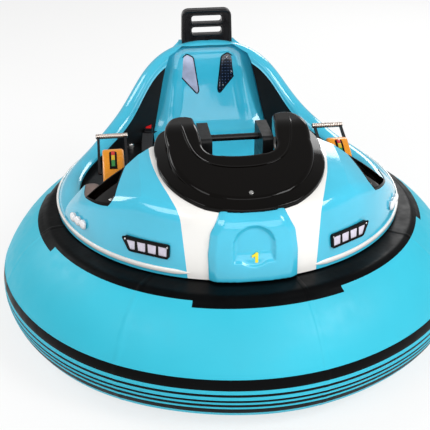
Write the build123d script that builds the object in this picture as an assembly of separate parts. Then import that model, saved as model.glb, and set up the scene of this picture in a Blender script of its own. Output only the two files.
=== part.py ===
"""Round battery bumper car: an inflated PVC ring round a moulded glass-fibre body.

Millimetres, +Z up, origin on the floor under the middle of the ring.
The car faces -Y, and its left and right halves mirror each other in X = 0.
The body's own sizes are given about its own centre, RING_AHEAD behind the ring's.
"""
from build123d import *

import os
from math import cos, radians, sin, sqrt

# ---------------------------------------------------------------- driving sizes
RING_R = 875.0                  # outside of the inflated ring
RING_TOP_Z = 405.0              # flat top of the ring, which the body's rim sits over
RING_AHEAD = 62.0               # the ring's centre is this far ahead of the body's

# Body wall: two ellipses that a leaning wall is lofted between.
RIM_Z, WALL_TOP_Z = 410.0, 860.0
RIM_HALF_X, RIM_FRONT_Y, RIM_BACK_Y = 656.0, -668.0, 670.0
TOP_HALF_X, TOP_FRONT_Y, TOP_BACK_Y = 598.0, -606.0, 712.0
SHELL = 9.0                     # glass-fibre wall

# Wheels
DRIVE_WHEEL_R, DRIVE_WHEEL_W = 105.0, 58.0
DRIVE_WHEEL_X, DRIVE_WHEEL_Y, HUB_R = 335.0, 40.0, 72.0
CASTER_WHEEL_R, CASTER_WHEEL_W = 62.0, 32.0
CASTER_Y, CASTER_TRAIL = 340.0, 40.0

# Steel frame
RAIL = 40.0
RAIL_X, RAIL_Z, RAIL_HALF_Y = 190.0, 198.0, 455.0
HOOP_R, HOOP_TUBE_R = 488.0, 19.0
CROSS_Y, CROSS_HALF_X = (-220.0, 205.0), 436.0
MOTOR_R, SHAFT_R, KINGPIN_R, FIT = 48.0, 12.0, 8.0, 0.4
CASTER_TOP_Z, CASTER_PLATE = 168.0, 10.0
TIE_HOLE_R, TIE_Y = 5.5, 405.0   # tie-down holes through the rails

# Cowl
COWL_RISE = 0.375               # slope of the hood's top, up towards the driver
COWL_FRONT_Y = -622.0
FRONT_BACK_Y = -205.0           # the front roof ends and the side sills take over here
TUB_WALL = 6.0

BODY = Pos(0, RING_AHEAD, 0)    # the body's own centre in the car's frame

os.makedirs("parts", exist_ok=True)


def save(name, solid):
    """Write one node's STEP file."""
    solid.label = name
    export_step(solid, f"parts/{name}.step")


def mirrored(solid):
    """The same piece on the other side of the car."""
    return mirror(solid, about=Plane.YZ)


def both_sides(name, solid):
    """Save a piece made for the driver's left (+X) side, and its mirror image."""
    save(f"{name}_left", solid)
    save(f"{name}_right", mirrored(solid))


def block(x0, x1, y0, y1, z0, z1):
    """Box between two corners."""
    centre = Pos((x0 + x1) / 2, (y0 + y1) / 2, (z0 + z1) / 2)
    return centre * Box(x1 - x0, y1 - y0, z1 - z0)


def rod(start, end, radius):
    """Round bar between two points."""
    start, end = Vector(*start), Vector(*end)
    axis = end - start
    disc = Plane(origin=start, z_dir=axis) * Circle(radius)
    return extrude(disc, amount=axis.length, dir=axis.normalized())


def outline(points):
    """Flat closed outline from corner points."""
    return make_face(Polyline(*points, close=True))


# ---------------------------------------------------------------- ring
# Ring section, (distance in from the outside, z): corner points and the point each arc passes through.
SECTION = dict(
    inner_top=(335.0, RING_TOP_Z), crest=(185.0, RING_TOP_Z), slope=(82.0, 326.0),
    shoulder=(11.0, 222.0), side=(0.0, 145.0), heel=(25.0, 59.0), belly=(175.0, 32.0),
    inner_foot=(335.0, 80.0), inner_wall=(363.0, 235.0))


def bumper_tube():
    """Inflated tube: one turn of its section about the ring's axis."""
    s = {name: (RING_R - inward, z) for name, (inward, z) in SECTION.items()}
    arcs = (
        ("crest", "slope", "shoulder"), ("shoulder", "side", "heel"), ("heel", "belly", "inner_foot"))
    edges = [ThreePointArc(s[a], s[b], s[c]) for a, b, c in arcs]
    edges.append(Polyline(s["inner_foot"], s["inner_wall"], s["inner_top"], s["crest"]))
    return revolve(Plane.XZ * make_face(Curve() + edges), Axis.Z, 360)


# ---------------------------------------------------------------- body wall and roofs
def wall_sizes(z):
    """Half width, front and back of the body wall at one height."""
    t = (z - RIM_Z) / (WALL_TOP_Z - RIM_Z)
    return (RIM_HALF_X + (TOP_HALF_X - RIM_HALF_X) * t,
            RIM_FRONT_Y + (TOP_FRONT_Y - RIM_FRONT_Y) * t,
            RIM_BACK_Y + (TOP_BACK_Y - RIM_BACK_Y) * t)


def wall_ellipse(z, grow=0.0):
    """Outline of the body at one height, grown outwards by a wall or a strip."""
    half_x, front, back = wall_sizes(z)
    return Pos(0, (front + back) / 2, z) * Ellipse(half_x + grow, (back - front) / 2 + grow)


def wall_radius(azimuth, z):
    """Distance from the body's axis to its wall, at an azimuth from the back and a height."""
    half_x, front, back = wall_sizes(z)
    centre, half_y = (front + back) / 2, (back - front) / 2
    s, c = sin(radians(azimuth)), cos(radians(azimuth))
    a = (s / half_x) ** 2 + (c / half_y) ** 2
    b = centre * c / half_y ** 2
    return (b + sqrt(b * b - a * ((centre / half_y) ** 2 - 1))) / a


def wall_half_width(z):
    """Half width of the body wall where the rear moulding meets the flanks."""
    half_x, front, back = wall_sizes(z)
    return half_x * sqrt(1 - ((2 * FRONT_BACK_Y - front - back) / (back - front)) ** 2)


def drum(grow=0.0, z0=RIM_Z, z1=WALL_TOP_Z):
    """Solid inside the leaning body wall, between two heights."""
    return loft([wall_ellipse(z0, grow), wall_ellipse(z1, grow)])


def section_at(y):
    """Cross-section plane: local x is X, local y is Z."""
    return Plane(origin=(0, y, 0), x_dir=(1, 0, 0), z_dir=(0, -1, 0))


# Front roof sections: y, crown height, height at SHOULDER_X, bulge of the side, eave height at EAVE_X.
FRONT_ROOF = (
    (-760.0, 530.0, 502.0, 12.0, 380.0),
    (-600.0, 636.0, 608.0, 14.0, 424.0),
    (-420.0, 699.0, 670.0, 18.0, 444.0),
    (-220.0, 724.0, 700.0, 22.0, 444.0),
    (120.0, 742.0, 714.0, 26.0, 445.0))
SHOULDER_X, EAVE_X = 345.0, 640.0
ROOF_BASE_Z = 240.0
ROOF_SIDE_X = 720.0


def front_roof(drop=0.0):
    """Solid under the front roof: a flat-crowned hump whose sides fall to the rim."""
    faces = []
    for y, crown, shoulder, bulge, eave in FRONT_ROOF:
        crown, shoulder, eave = crown - drop, shoulder - drop, eave - drop
        mid = ((SHOULDER_X + EAVE_X) / 2 + bulge * 0.5, (shoulder + eave) / 2 + bulge)
        edges = [Polyline(
            (EAVE_X, eave), (ROOF_SIDE_X, eave - 60), (ROOF_SIDE_X, ROOF_BASE_Z),
            (-ROOF_SIDE_X, ROOF_BASE_Z), (-ROOF_SIDE_X, eave - 60), (-EAVE_X, eave)),
            ThreePointArc((-SHOULDER_X, shoulder), (0, crown), (SHOULDER_X, shoulder))]
        for side in (-1, 1):
            edges.append(ThreePointArc(
                (side * SHOULDER_X, shoulder), (side * mid[0], mid[1]), (side * EAVE_X, eave)))
        faces.append(section_at(y) * make_face(Curve() + edges))
    return loft(faces)


# Rolled edge of the rear moulding, from the middle of the back round to the flank:
# azimuth from the back, height of the roll's crest, and how far its inner lip hangs below the crest.
# The stations are evenly spaced, so that the loft runs smoothly through them.
ROLL = (
    (0.0, 822.0, 38.0), (9.0, 814.0, 38.0), (18.0, 780.0, 38.0), (27.0, 701.0, 38.0), (36.0, 592.0, 38.0),
    (45.0, 523.0, 28.0), (54.0, 482.0, 16.0), (63.0, 465.0, 11.0), (72.0, 459.0, 10.0), (81.0, 458.0, 10.0),
    (90.0, 460.0, 10.0), (99.0, 463.0, 10.0))
ROLL_END = (468.0, 10.0)        # crest and lip where the roll meets the flank, at FRONT_BACK_Y
ROLL_R = 40.0                   # the roll is half round, seen from its end
LIP_RUN = 8.0                   # straight drop under the inner lip
TUB_INSET = 60.0                # the black tub's wall stands this far inside the body's wall


def bowed_face(plane, points, arcs):
    """Section in a plane: corner points, with the run after point i bowed through arcs[i]."""
    edges = []
    for i, start in enumerate(points):
        end = points[(i + 1) % len(points)]
        edges.append(ThreePointArc(start, arcs[i], end) if i in arcs else Line(start, end))
    return plane * make_face(Curve() + edges)


def roll_face(plane, at, crest, lip):
    """Section of the rear moulding: its wall, the half-round roll on top and the lip inside it."""
    foot = crest - lip - LIP_RUN
    points = [at(0, RIM_Z), at(0, crest - ROLL_R), at(2 * ROLL_R, crest - lip), at(2 * ROLL_R + 3, foot),
              at(2 * ROLL_R + 3 - SHELL, foot), at(2 * ROLL_R - SHELL, crest - lip - 3),
              at(SHELL, crest - ROLL_R), at(SHELL, RIM_Z)]
    return bowed_face(plane, points, {1: at(ROLL_R, crest), 5: at(ROLL_R, crest - SHELL)})


def strip_face(plane, at, crest, lip):
    """Section of the tub's wall, which ends inside the hollow of the roll."""
    top = crest - 26 - 0.25 * lip
    inner = TUB_INSET + TUB_WALL
    points = [at(TUB_INSET, RIM_Z), at(TUB_INSET, top), at(inner, top), at(inner, RIM_Z)]
    return bowed_face(plane, points, {})


def swept_round(section):
    """Loft one section through the roll's stations and up to the flank, with its mirror image."""
    faces = []
    for azimuth, crest, lip in ROLL:
        s, c = sin(radians(azimuth)), cos(radians(azimuth))
        plane = Plane(origin=(0, 0, 0), x_dir=(s, c, 0), z_dir=(c, -s, 0))
        faces.append(section(plane, lambda inset, z: (wall_radius(azimuth, z) - inset, z), crest, lip))
    end = section_at(FRONT_BACK_Y)
    faces.append(section(end, lambda inset, z: (wall_half_width(z) - inset, z), *ROLL_END))
    half = loft(faces)
    return half + mirrored(half)


# ---------------------------------------------------------------- plan outlines
# Rear edge of the +X flank in plan, from the cowl out to the roll.
FLANK_EDGE = (
    (292.0, -221.0), (340.0, -262.0), (391.0, -293.0), (536.0, -300.0), (541.0, -262.0), (537.0, -205.0))
# White saddle's edge in plan: start, a point on the arc, end.
SADDLE_EDGE = (((200.0, -760.0), (201.0, -700.0), (204.0, -650.0)),
               ((204.0, -650.0), (238.0, -572.0), (263.0, -500.0)),
               ((263.0, -500.0), (297.0, -370.0), (306.0, -225.0)))
# Lip of the cowl in plan, from the middle of the front round to the inside of the U.
COWL_ARCS = (((-150.0, -592.0), (0.0, COWL_FRONT_Y), (150.0, -592.0)),
             ((150.0, -592.0), (248.0, -495.0), (285.0, -330.0)),
             ((285.0, -330.0), (288.0, -240.0), (268.0, -165.0)),
             ((268.0, -165.0), (205.0, -125.0), (142.0, -165.0)),
             ((128.0, -320.0), (112.0, -364.0), (70.0, -380.0)),
             ((70.0, -380.0), (0.0, -386.0), (-70.0, -380.0)))
# The hood stands on the lip, and meets the cowl's own edge round the U.
HOOD_ARCS = (((-133.0, -558.0), (0.0, -585.0), (133.0, -558.0)),
             ((133.0, -558.0), (216.0, -474.0), (247.0, -330.0)),
             ((247.0, -330.0), (250.0, -250.0), (234.0, -186.0)),
             ((234.0, -186.0), (200.0, -150.0), (142.0, -165.0)),
             COWL_ARCS[4], COWL_ARCS[5])


def block_plan(x0, x1, y0, y1):
    """Rectangle in plan."""
    return Pos((x0 + x1) / 2, (y0 + y1) / 2) * Rectangle(x1 - x0, y1 - y0)


def prism(face, z0=0.0, z1=1000.0):
    """Upright solid from a plan outline."""
    return Pos(0, 0, z0) * extrude(face, amount=z1 - z0)


def opening_plan():
    """Plan of the cockpit opening between the flanks."""
    back = FRONT_BACK_Y + 5
    points = [(0, -150), (135, -150), (135, -221), *FLANK_EDGE, (FLANK_EDGE[-1][0], back), (0, back)]
    front = outline(points)
    return front + mirror(front, about=Plane.YZ)


def arc_plan(arcs):
    """Plan of the cowl or the hood: its arcs on both sides, with a straight inside edge down each arm."""
    edges = [ThreePointArc(*arcs[0]), ThreePointArc(*arcs[-1])]
    for side in (-1, 1):
        for start, via, end in arcs[1:-1]:
            edges.append(ThreePointArc(*[(side * x, y) for x, y in (start, via, end)]))
        start, end = arcs[3][2], arcs[4][0]
        edges.append(Line((side * start[0], start[1]), (side * end[0], end[1])))
    return make_face(Curve() + edges)


def u_mouth_plan():
    """Plan of the cockpit mouth between the cowl's arms."""
    return outline([(-128, -150), (-128, -330), (-95, -372), (95, -372), (128, -330), (128, -150)])


def saddle_plan():
    """Plan of the white saddle."""
    edges = [Line((-200, -760), (200, -760)), Line((-306, -225), (306, -225))]
    for side in (-1, 1):
        for start, via, end in SADDLE_EDGE:
            edges.append(ThreePointArc(*[(side * x, y) for x, y in (start, via, end)]))
    return make_face(Curve() + edges)


# ---------------------------------------------------------------- body shell
WALL_ROUND = 60.0               # radius between the wall and the front roof


def front_form(drop=0.0):
    """Solid front body, with its wall rounded into its roof."""
    form = drum(-drop) & front_roof(drop) & block(-800, 800, -800, FRONT_BACK_Y, 300, 900)
    corners = []
    for edge in form.edges():
        middle = edge @ 0.5
        if middle.Z > 430 and Vector(middle.X, middle.Y).length > 540 and middle.Y < FRONT_BACK_Y - 1:
            corners.append(edge)
    return fillet(corners, WALL_ROUND - drop)


def largest(solid):
    """Keep the biggest solid of a cut and drop its crumbs."""
    return Part() + sorted(solid.solids(), key=lambda s: s.volume)[-1]


# ---------------------------------------------------------------- lamps, stripes and panels
STRIPE_Z, STRIPE_HALF, STRIPE_PROUD = 428.0, 7.0, 2.0
STRIPE_END_X, STRIPE_TAPER = 232.0, 40.0
LAMP_CENTRE = (343.5, -558.0, 494.0)
LAMP_AZIMUTH = 31.0
LAMP_LENGTH, LAMP_HEIGHT, LAMP_DEPTH = 176.0, 50.0, 20.0
LAMP_CELL_LENGTH, LAMP_CELL_HEIGHT = 33.0, 31.0
LAMP_CELL_SLANTS = (3.0, 3.0, 5.0, 15.0)    # from the nose outwards: only the outer cell follows the bezel's end
LAMP_SLANT = 28.0
NOSE_PROUD = 18.0
# Nose panel seen from the front: half width at each height.
NOSE_OUTLINE = ((146.0, 400.0), (147.0, 500.0), (138.0, 570.0), (112.0, 620.0), (90.0, 660.0))
RECESS_HALF, RECESS_TOP_Z, RECESS_LOW_Z, RECESS_DEPTH = 68.0, 600.0, 478.0, 8.0


def lamp_frame():
    """Local frame of the +X headlamp: x along the body, y up, z outwards."""
    a = radians(LAMP_AZIMUTH)
    return Plane(origin=LAMP_CENTRE, x_dir=(cos(a), sin(a), 0), z_dir=(sin(a), -cos(a), 0.14))


def slanted(length, height, slant):
    """Lamp outline: a long bar whose outer end slants."""
    half, rise = length / 2, height / 2
    return outline([(-half, -rise), (half - slant, -rise), (half, rise), (-half, rise)])


def headlamp():
    """Black bezel and its four clear cells, one set for the +X side."""
    frame = lamp_frame()
    face = fillet(slanted(LAMP_LENGTH, LAMP_HEIGHT, LAMP_SLANT).vertices(), 9)
    bezel = frame * Pos(0, 0, -LAMP_DEPTH) * extrude(face, amount=LAMP_DEPTH + 3)
    cells, windows = [], []
    pitch = LAMP_CELL_LENGTH + 6
    for i, slant in enumerate(LAMP_CELL_SLANTS):
        x = (i - 1.5) * pitch - 5
        cell = fillet(slanted(LAMP_CELL_LENGTH, LAMP_CELL_HEIGHT, slant).vertices(), 3)
        cells.append(frame * Pos(x, -2, -6) * extrude(cell, amount=7))
        windows.append(frame * Pos(x, -2, -6) * extrude(cell, amount=20))
    return bezel - windows, sum(cells[1:], Part() + cells[0])


def stripe_gap():
    """What the stripe leaves free at the nose: both its ends taper to a point."""
    points = []
    for side in (-1, 1):
        for t in (-1.2, 0, 1.2):
            points.append((side * (STRIPE_END_X + STRIPE_TAPER * abs(t)), STRIPE_Z - side * t * STRIPE_HALF))
    return section_at(0) * extrude(outline(points), amount=800)


def rim_stripe():
    """White strip round the rim, both sides, before it is split."""
    low, high = STRIPE_Z - STRIPE_HALF, STRIPE_Z + STRIPE_HALF
    return drum(STRIPE_PROUD, low, high) - drum(-1.5, low - 1, high + 1) - stripe_gap()


def nose_panel(front):
    """Raised panel on the nose with its horseshoe recess."""
    pts = [(x, z) for x, z in NOSE_OUTLINE] + [(-x, z) for x, z in reversed(NOSE_OUTLINE)]
    face = fillet(outline(pts).vertices().filter_by(lambda v: v.Y > 450), 18)
    solid = section_at(-500) * extrude(face, amount=400)
    proud = Pos(0, -NOSE_PROUD, 0) * front
    panel = (proud & solid) - front - (Pos(0, 0, -400) * block(-800, 800, -500, 0, 0, 2000))
    arch = (Pos(0, RECESS_TOP_Z - RECESS_HALF) * Circle(RECESS_HALF)
            + Pos(0, (RECESS_TOP_Z - RECESS_HALF + RECESS_LOW_Z) / 2)
            * Rectangle(2 * RECESS_HALF, RECESS_TOP_Z - RECESS_HALF - RECESS_LOW_Z))
    cutter = section_at(-500) * extrude(arch, amount=400)
    deep = cutter - (Pos(0, -NOSE_PROUD + RECESS_DEPTH, 0) * front)
    return panel - deep - prism(arc_plan(COWL_ARCS))


# ---------------------------------------------------------------- cowl
LIP_RISE = 15.0
HOOD_START_Z, HOOD_TOP_Z, HOOD_BEND = 648.0, 786.0, 160.0
LIP_ROUND, HOOD_ROUND = 7.0, 16.0


def raised_front_roof(rise):
    """The front roof lifted, to give a skin that lies on it an even thickness."""
    return Pos(0, 0, rise) * front_roof()


def hood_top(y):
    """Height of the hood's sloping top."""
    return HOOD_START_Z + COWL_RISE * (y - COWL_FRONT_Y)


def top_edges(solid):
    """Edges round the top of an upright solid, without the seams that run straight across it."""
    found = []
    for edge in solid.edges():
        size = edge.bounding_box().size
        upright = size.X < 1 and size.Y < 1
        seam = edge.geom_type == GeomType.LINE and size.Y < 1
        if edge.bounding_box().min.Z > 600 and not upright and not seam:
            found.append(edge)
    return found


def cowl(roof):
    """Black lip and the padded-looking hood that stands on it."""
    plan = arc_plan(HOOD_ARCS)
    lip = prism(arc_plan(COWL_ARCS), 450, 1000) & raised_front_roof(LIP_RISE)
    lip = fillet(top_edges(lip), LIP_ROUND) - roof - prism(plan) - block(-145, 145, -400, -100, 0, 1000)
    crest_y = COWL_FRONT_Y + (HOOD_TOP_Z - HOOD_START_Z) / COWL_RISE
    profile = outline([(-700, 400), (-700, hood_top(-700)), (crest_y, HOOD_TOP_Z), (0, HOOD_TOP_Z), (0, 400)])
    profile = fillet(profile.vertices().filter_by(lambda v: abs(v.X - crest_y) < 1), HOOD_BEND)
    hood = prism(plan, 450, 1000) & across(profile)
    return lip, fillet(top_edges(hood), HOOD_ROUND) - roof


# ---------------------------------------------------------------- seat
TUB_FLOOR_Z, TUB_TOP_Z = 218.0, 226.0
# Seat side profile (y, z): the face the driver sits against, from the top down to the cushion's front.
SEAT_FACE = (
    (674.0, 808.0), (652.0, 770.0), (634.0, 640.0), (600.0, 520.0), (566.0, 450.0), (520.0, 424.0),
    (300.0, 414.0), (118.0, 426.0), (92.0, 402.0), (118.0, TUB_TOP_Z))
# The same moulding's rear, from the bottom up.
SEAT_REAR = ((345.0, TUB_TOP_Z), (345.0, 415.0), (606.0, 420.0), (618.0, 520.0), (652.0, 640.0), (670.0, 770.0),
             (692.0, 808.0))
# Seat seen from the front: half width at each height.
SEAT_HALF = ((112.0, 808.0), (172.0, 775.0), (186.0, 740.0), (206.0, 660.0), (232.0, 540.0), (254.0, 440.0),
             (262.0, 220.0))


def across(face, x0=-900.0, x1=900.0):
    """Solid from a (y, z) outline, run across the car between two x planes."""
    return extrude(Plane(origin=(x0, 0, 0), x_dir=(0, 1, 0), z_dir=(1, 0, 0)) * face, amount=x1 - x0)


def seat_front_view():
    """The seat's outline from the front, run from back to front."""
    face = outline([(x, z) for x, z in SEAT_HALF] + [(-x, z) for x, z in reversed(SEAT_HALF)])
    return section_at(900) * extrude(face, amount=1000)


def seat():
    """Bucket seat moulding: plinth, cushion and back."""
    body = across(outline(list(SEAT_FACE) + list(SEAT_REAR))) & seat_front_view()
    cavity = block(-236, 236, 136, 331, TUB_FLOOR_Z, 398)
    return body - cavity


def seat_room():
    """Everything in front of the seat's face, cleared out of the shell and the tub."""
    face = outline([(y, z) for y, z in SEAT_FACE[:5]] + [(400, 450), (400, 900), (674, 900)])
    return across(face) & seat_front_view()


HEADREST_SLOT_Z = (866.0, 916.0)


def headrest():
    """Moulded black headrest with two slots right through it."""
    face = outline([(-110, 800), (110, 800), (106, 957), (-106, 957)])
    face = fillet(face.vertices().filter_by(lambda v: v.Y > 900), 26)
    slots = []
    for z in HEADREST_SLOT_Z:
        slots.append(Pos(0, z) * fillet(Rectangle(132, 32).vertices(), 12))
    face = face - slots
    return Plane(origin=(0, 694, 0), x_dir=(1, 0, 0), z_dir=(0, -1, 0)) * extrude(face, amount=34)


# ---------------------------------------------------------------- tub and side wells
TUB_HALF_X, TUB_FRONT_Y, TUB_CENTRE_Y = 566.0, -572.0, -200.0
LOW_TUB_R = 500.0               # the low part is round and stands inside the ring
BATTERY_X, BATTERY_Y, BATTERY_TOP_Z = 175.0, (206.0, 386.0), 390.0


def front_tub_plan(inset=0.0):
    """Plan of the tub's front above the ring: half an ellipse."""
    front = Pos(0, TUB_CENTRE_Y) * Ellipse(TUB_HALF_X - inset, TUB_CENTRE_Y - TUB_FRONT_Y - inset)
    return front & block_plan(-900, 900, -900, TUB_CENTRE_Y)


def tub(under_front):
    """Black tub in three mouldings: floor, low wall inside the ring, and the ledge and wall over the ring."""
    front = (prism(front_tub_plan(), RIM_Z, 900) - prism(front_tub_plan(TUB_WALL), RIM_Z - 1, 901)) & under_front
    front = front & block(-900, 900, -900, FRONT_BACK_Y, 0, 1000)
    low_plan = Pos(0, -RING_AHEAD) * Circle(LOW_TUB_R)
    low_inner = Pos(0, -RING_AHEAD) * Circle(LOW_TUB_R - TUB_WALL)
    rear_plan = Pos(0, 0, -RIM_Z) * wall_ellipse(RIM_Z, -TUB_INSET - 3)
    rear_plan = rear_plan & block_plan(-900, 900, TUB_CENTRE_Y - 3, 900)
    ledge_plan = front_tub_plan(2) + low_plan + rear_plan - low_inner
    upper = prism(ledge_plan, RIM_Z, RIM_Z + TUB_WALL) + front + swept_round(strip_face)
    low = prism(low_plan, TUB_TOP_Z, RIM_Z) - prism(low_inner, TUB_TOP_Z - 1, 901)
    y0, y1 = BATTERY_Y[0] - RING_AHEAD - 3, BATTERY_Y[1] - RING_AHEAD + 3
    well = block(-BATTERY_X - 3, BATTERY_X + 3, y0, y1, 0, 300)
    return prism(low_plan, TUB_FLOOR_Z, TUB_TOP_Z) - well, low, upper


# Control box in the well, and the grip over it (+X side)
BOX_X = (393.0, 474.0)
BOX_SIDE = ((30.0, 470.0), (30.0, 598.0), (4.0, 604.0), (-60.0, 578.0), (-170.0, 505.0), (-190.0, 470.0))
GRIP_Z, GRIP_Y, GRIP_X, GRIP_R = 590.0, 178.0, (373.0, 499.0), 8.0
LEG_R, LEG_X, LEG_FOOT = 5.0, (383.0, 489.0), (-20.0, 520.0)


def control_box():
    """Yellow control box with its sloping face, and the post it stands on."""
    body = across(outline(BOX_SIDE), *BOX_X)
    post = block(414, 458, -150, 10, TUB_TOP_Z, 470)
    return body, post


def grip():
    """Control grip: a bar on two legs, which turn on a pin through the box."""
    x0, x1 = GRIP_X
    whole = rod((x0, GRIP_Y, GRIP_Z), (x1, GRIP_Y, GRIP_Z), GRIP_R)
    whole = whole + rod((LEG_X[0], *LEG_FOOT), (LEG_X[1], *LEG_FOOT), LEG_R)
    for x in LEG_X:
        (y, z), (foot_y, foot_z) = (GRIP_Y, GRIP_Z), LEG_FOOT
        whole = whole + across(outline([(y - 3, z + 4), (y + 4, z - 3), (foot_y + 5, foot_z - 6),
                                        (foot_y - 5, foot_z + 6)]), x - LEG_R, x + LEG_R)
    return whole


# Teardrop scoop in the flank (+X side), in plan: it opens into the side well along its rear edge.
SCOOP_EDGE = (((391.0, -293.0), (414.0, -360.0), (431.0, -424.0)),
              ((431.0, -424.0), (444.0, -437.0), (462.0, -430.0)),
              ((462.0, -430.0), (503.0, -376.0), (536.0, -300.0)))
SCOOP_DEPTH, SCOOP_WALL = 26.0, 6.0


def scoop_plan(inset=0.0):
    """Plan of the scoop."""
    edges = [ThreePointArc(*arc) for arc in SCOOP_EDGE] + [Line(SCOOP_EDGE[-1][2], SCOOP_EDGE[0][0])]
    face = make_face(Curve() + edges)
    return offset(face, -inset) if inset else face


def scoop(outer, roof):
    """Black dished panel that fills the teardrop cut in the flank."""
    plate = (prism(scoop_plan()) & outer) - Pos(0, 0, -SCOOP_DEPTH) * roof
    return plate - (prism(scoop_plan(SCOOP_WALL)) - Pos(0, 0, SCOOP_WALL - SCOOP_DEPTH) * roof)


# ---------------------------------------------------------------- cowl fittings
PAD_X, PAD_Y, PAD_Z = (88.0, 127.0), (-285.0, -110.0), (560.0, 745.0)
BAR_Y, BAR_Z, BAR_R = -200.0, 716.0, 12.0


def pads():
    """Upright pads on the insides of the cowl's arms."""
    pad = block(*PAD_X, *PAD_Y, *PAD_Z)
    pad = fillet(pad.edges().filter_by(Axis.X), 14)
    return pad + mirrored(pad)


def lap_bar():
    """Round bar between the two pads."""
    return rod((-PAD_X[0], BAR_Y, BAR_Z), (PAD_X[0], BAR_Y, BAR_Z), BAR_R)


# ---------------------------------------------------------------- chassis
def spun(section):
    """Full turn about the ring's axis of a section drawn as (radius, z)."""
    return revolve(Plane.XZ * section, Axis.Z, 360)


def chassis():
    """Hoop that carries the ring, rails, cross members, caster plates and motor clamps."""
    frame = spun(Pos(HOOP_R, RAIL_Z) * Rectangle(2 * HOOP_TUBE_R, 2 * HOOP_TUBE_R))
    half = RAIL / 2
    y, z = DRIVE_WHEEL_Y, DRIVE_WHEEL_R
    for x in (-RAIL_X, RAIL_X):
        frame = frame + block(x - half, x + half, -RAIL_HALF_Y, RAIL_HALF_Y, RAIL_Z - half, RAIL_Z + half)
        clamp = block(x - half, x + half, y - 60, y + 60, z, RAIL_Z - half)
        frame = frame + (clamp - rod((-400, y, z), (400, y, z), MOTOR_R))
    for y in CROSS_Y:
        frame = frame + block(-CROSS_HALF_X, CROSS_HALF_X, y - half, y + half, RAIL_Z - half, RAIL_Z + half)
    for y in (-CASTER_Y, CASTER_Y):
        plate = block(-RAIL_X, RAIL_X, y - 45, y + 45, CASTER_TOP_Z, CASTER_TOP_Z + CASTER_PLATE)
        frame = frame + (plate - Pos(0, y, CASTER_TOP_Z) * Cylinder(KINGPIN_R + FIT, 60))
    for x in (-RAIL_X, RAIL_X):
        for y in (-TIE_Y, TIE_Y):
            frame = frame - Pos(x, y, RAIL_Z) * Cylinder(TIE_HOLE_R, 2 * RAIL)
    return frame


def motor():
    """Gear motor inboard of a drive wheel (+X side)."""
    y, z = DRIVE_WHEEL_Y, DRIVE_WHEEL_R
    can = rod((92, y, z), (250, y, z), MOTOR_R)
    gearbox = block(236, 292, y - 56, y + 56, z - 50, z + 52)
    shaft = rod((290, y, z), (DRIVE_WHEEL_X + 20, y, z), SHAFT_R)
    return can + gearbox + shaft


def drive_tyre():
    """Solid rubber tyre with chamfered shoulders (+X side)."""
    w, r, edge = DRIVE_WHEEL_W / 2, DRIVE_WHEEL_R, 7
    section = outline([(HUB_R, -w), (r - edge, -w), (r, edge - w), (r, w - edge), (r - edge, w), (HUB_R, w)])
    return Pos(DRIVE_WHEEL_X, DRIVE_WHEEL_Y, r) * Rot(Y=90) * spun(section)


def drive_hub():
    """Wheel centre (+X side)."""
    disc = Cylinder(HUB_R, 16) + Cylinder(30, DRIVE_WHEEL_W) - Cylinder(SHAFT_R + FIT, 200)
    return Pos(DRIVE_WHEEL_X, DRIVE_WHEEL_Y, DRIVE_WHEEL_R) * Rot(Y=90) * disc


def caster_fork(y):
    """Swivelling fork of a caster, trailing towards the back."""
    r, crown_z = CASTER_WHEEL_R, 144.0
    axle_y = y + CASTER_TRAIL
    pin = Pos(0, y, (crown_z + CASTER_TOP_Z + CASTER_PLATE) / 2) * Cylinder(
        KINGPIN_R, CASTER_TOP_Z + CASTER_PLATE - crown_z)
    race = Pos(0, y, (crown_z + CASTER_TOP_Z - 3) / 2) * Cylinder(30, CASTER_TOP_Z - 3 - crown_z)
    fork = pin + race + block(-28, 28, y - 30, axle_y + 16, crown_z - 6, crown_z)
    for side in (-1, 1):
        x0, x1 = sorted((side * 22, side * 28))
        fork = fork + across(outline([(y - 26, crown_z), (axle_y + 16, crown_z), (axle_y + 14, r - 10),
                                        (axle_y - 14, r - 10)]), x0, x1)
    return fork + rod((-32, axle_y, r), (32, axle_y, r), 6)


def caster_wheel(y):
    """Small rubber wheel of a caster."""
    wheel = Cylinder(CASTER_WHEEL_R, CASTER_WHEEL_W) - Cylinder(6 + FIT, 100)
    return Pos(0, y + CASTER_TRAIL, CASTER_WHEEL_R) * Rot(Y=90) * wheel


def battery():
    """Battery pack on the frame under the seat: one plain block."""
    return block(-BATTERY_X, BATTERY_X, *BATTERY_Y, RAIL_Z + RAIL / 2, BATTERY_TOP_Z)


def back_inset():
    """Glossy inset in the seat back (+X side)."""
    face = outline([(64, 752), (88, 764), (112, 742), (120, 672), (54, 596), (50, 612)])
    return section_at(800) * extrude(face, amount=260)


MARKER_AZIMUTHS, MARKER_R, MARKER_Z = (57.5, 60.5, 63.5), 650.0, 484.0


def side_marker():
    """Three-lobed white marker on the side (+X side): three short studs in a row."""
    studs = []
    for azimuth in MARKER_AZIMUTHS:
        a = radians(azimuth)
        out = Vector(sin(a), -cos(a), 0)
        face = Plane(origin=out * (MARKER_R - 8) + Vector(0, 0, MARKER_Z), z_dir=out) * Circle(13)
        studs.append(extrude(face, amount=12))
    return studs[0] + studs[1] + studs[2]


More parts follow.
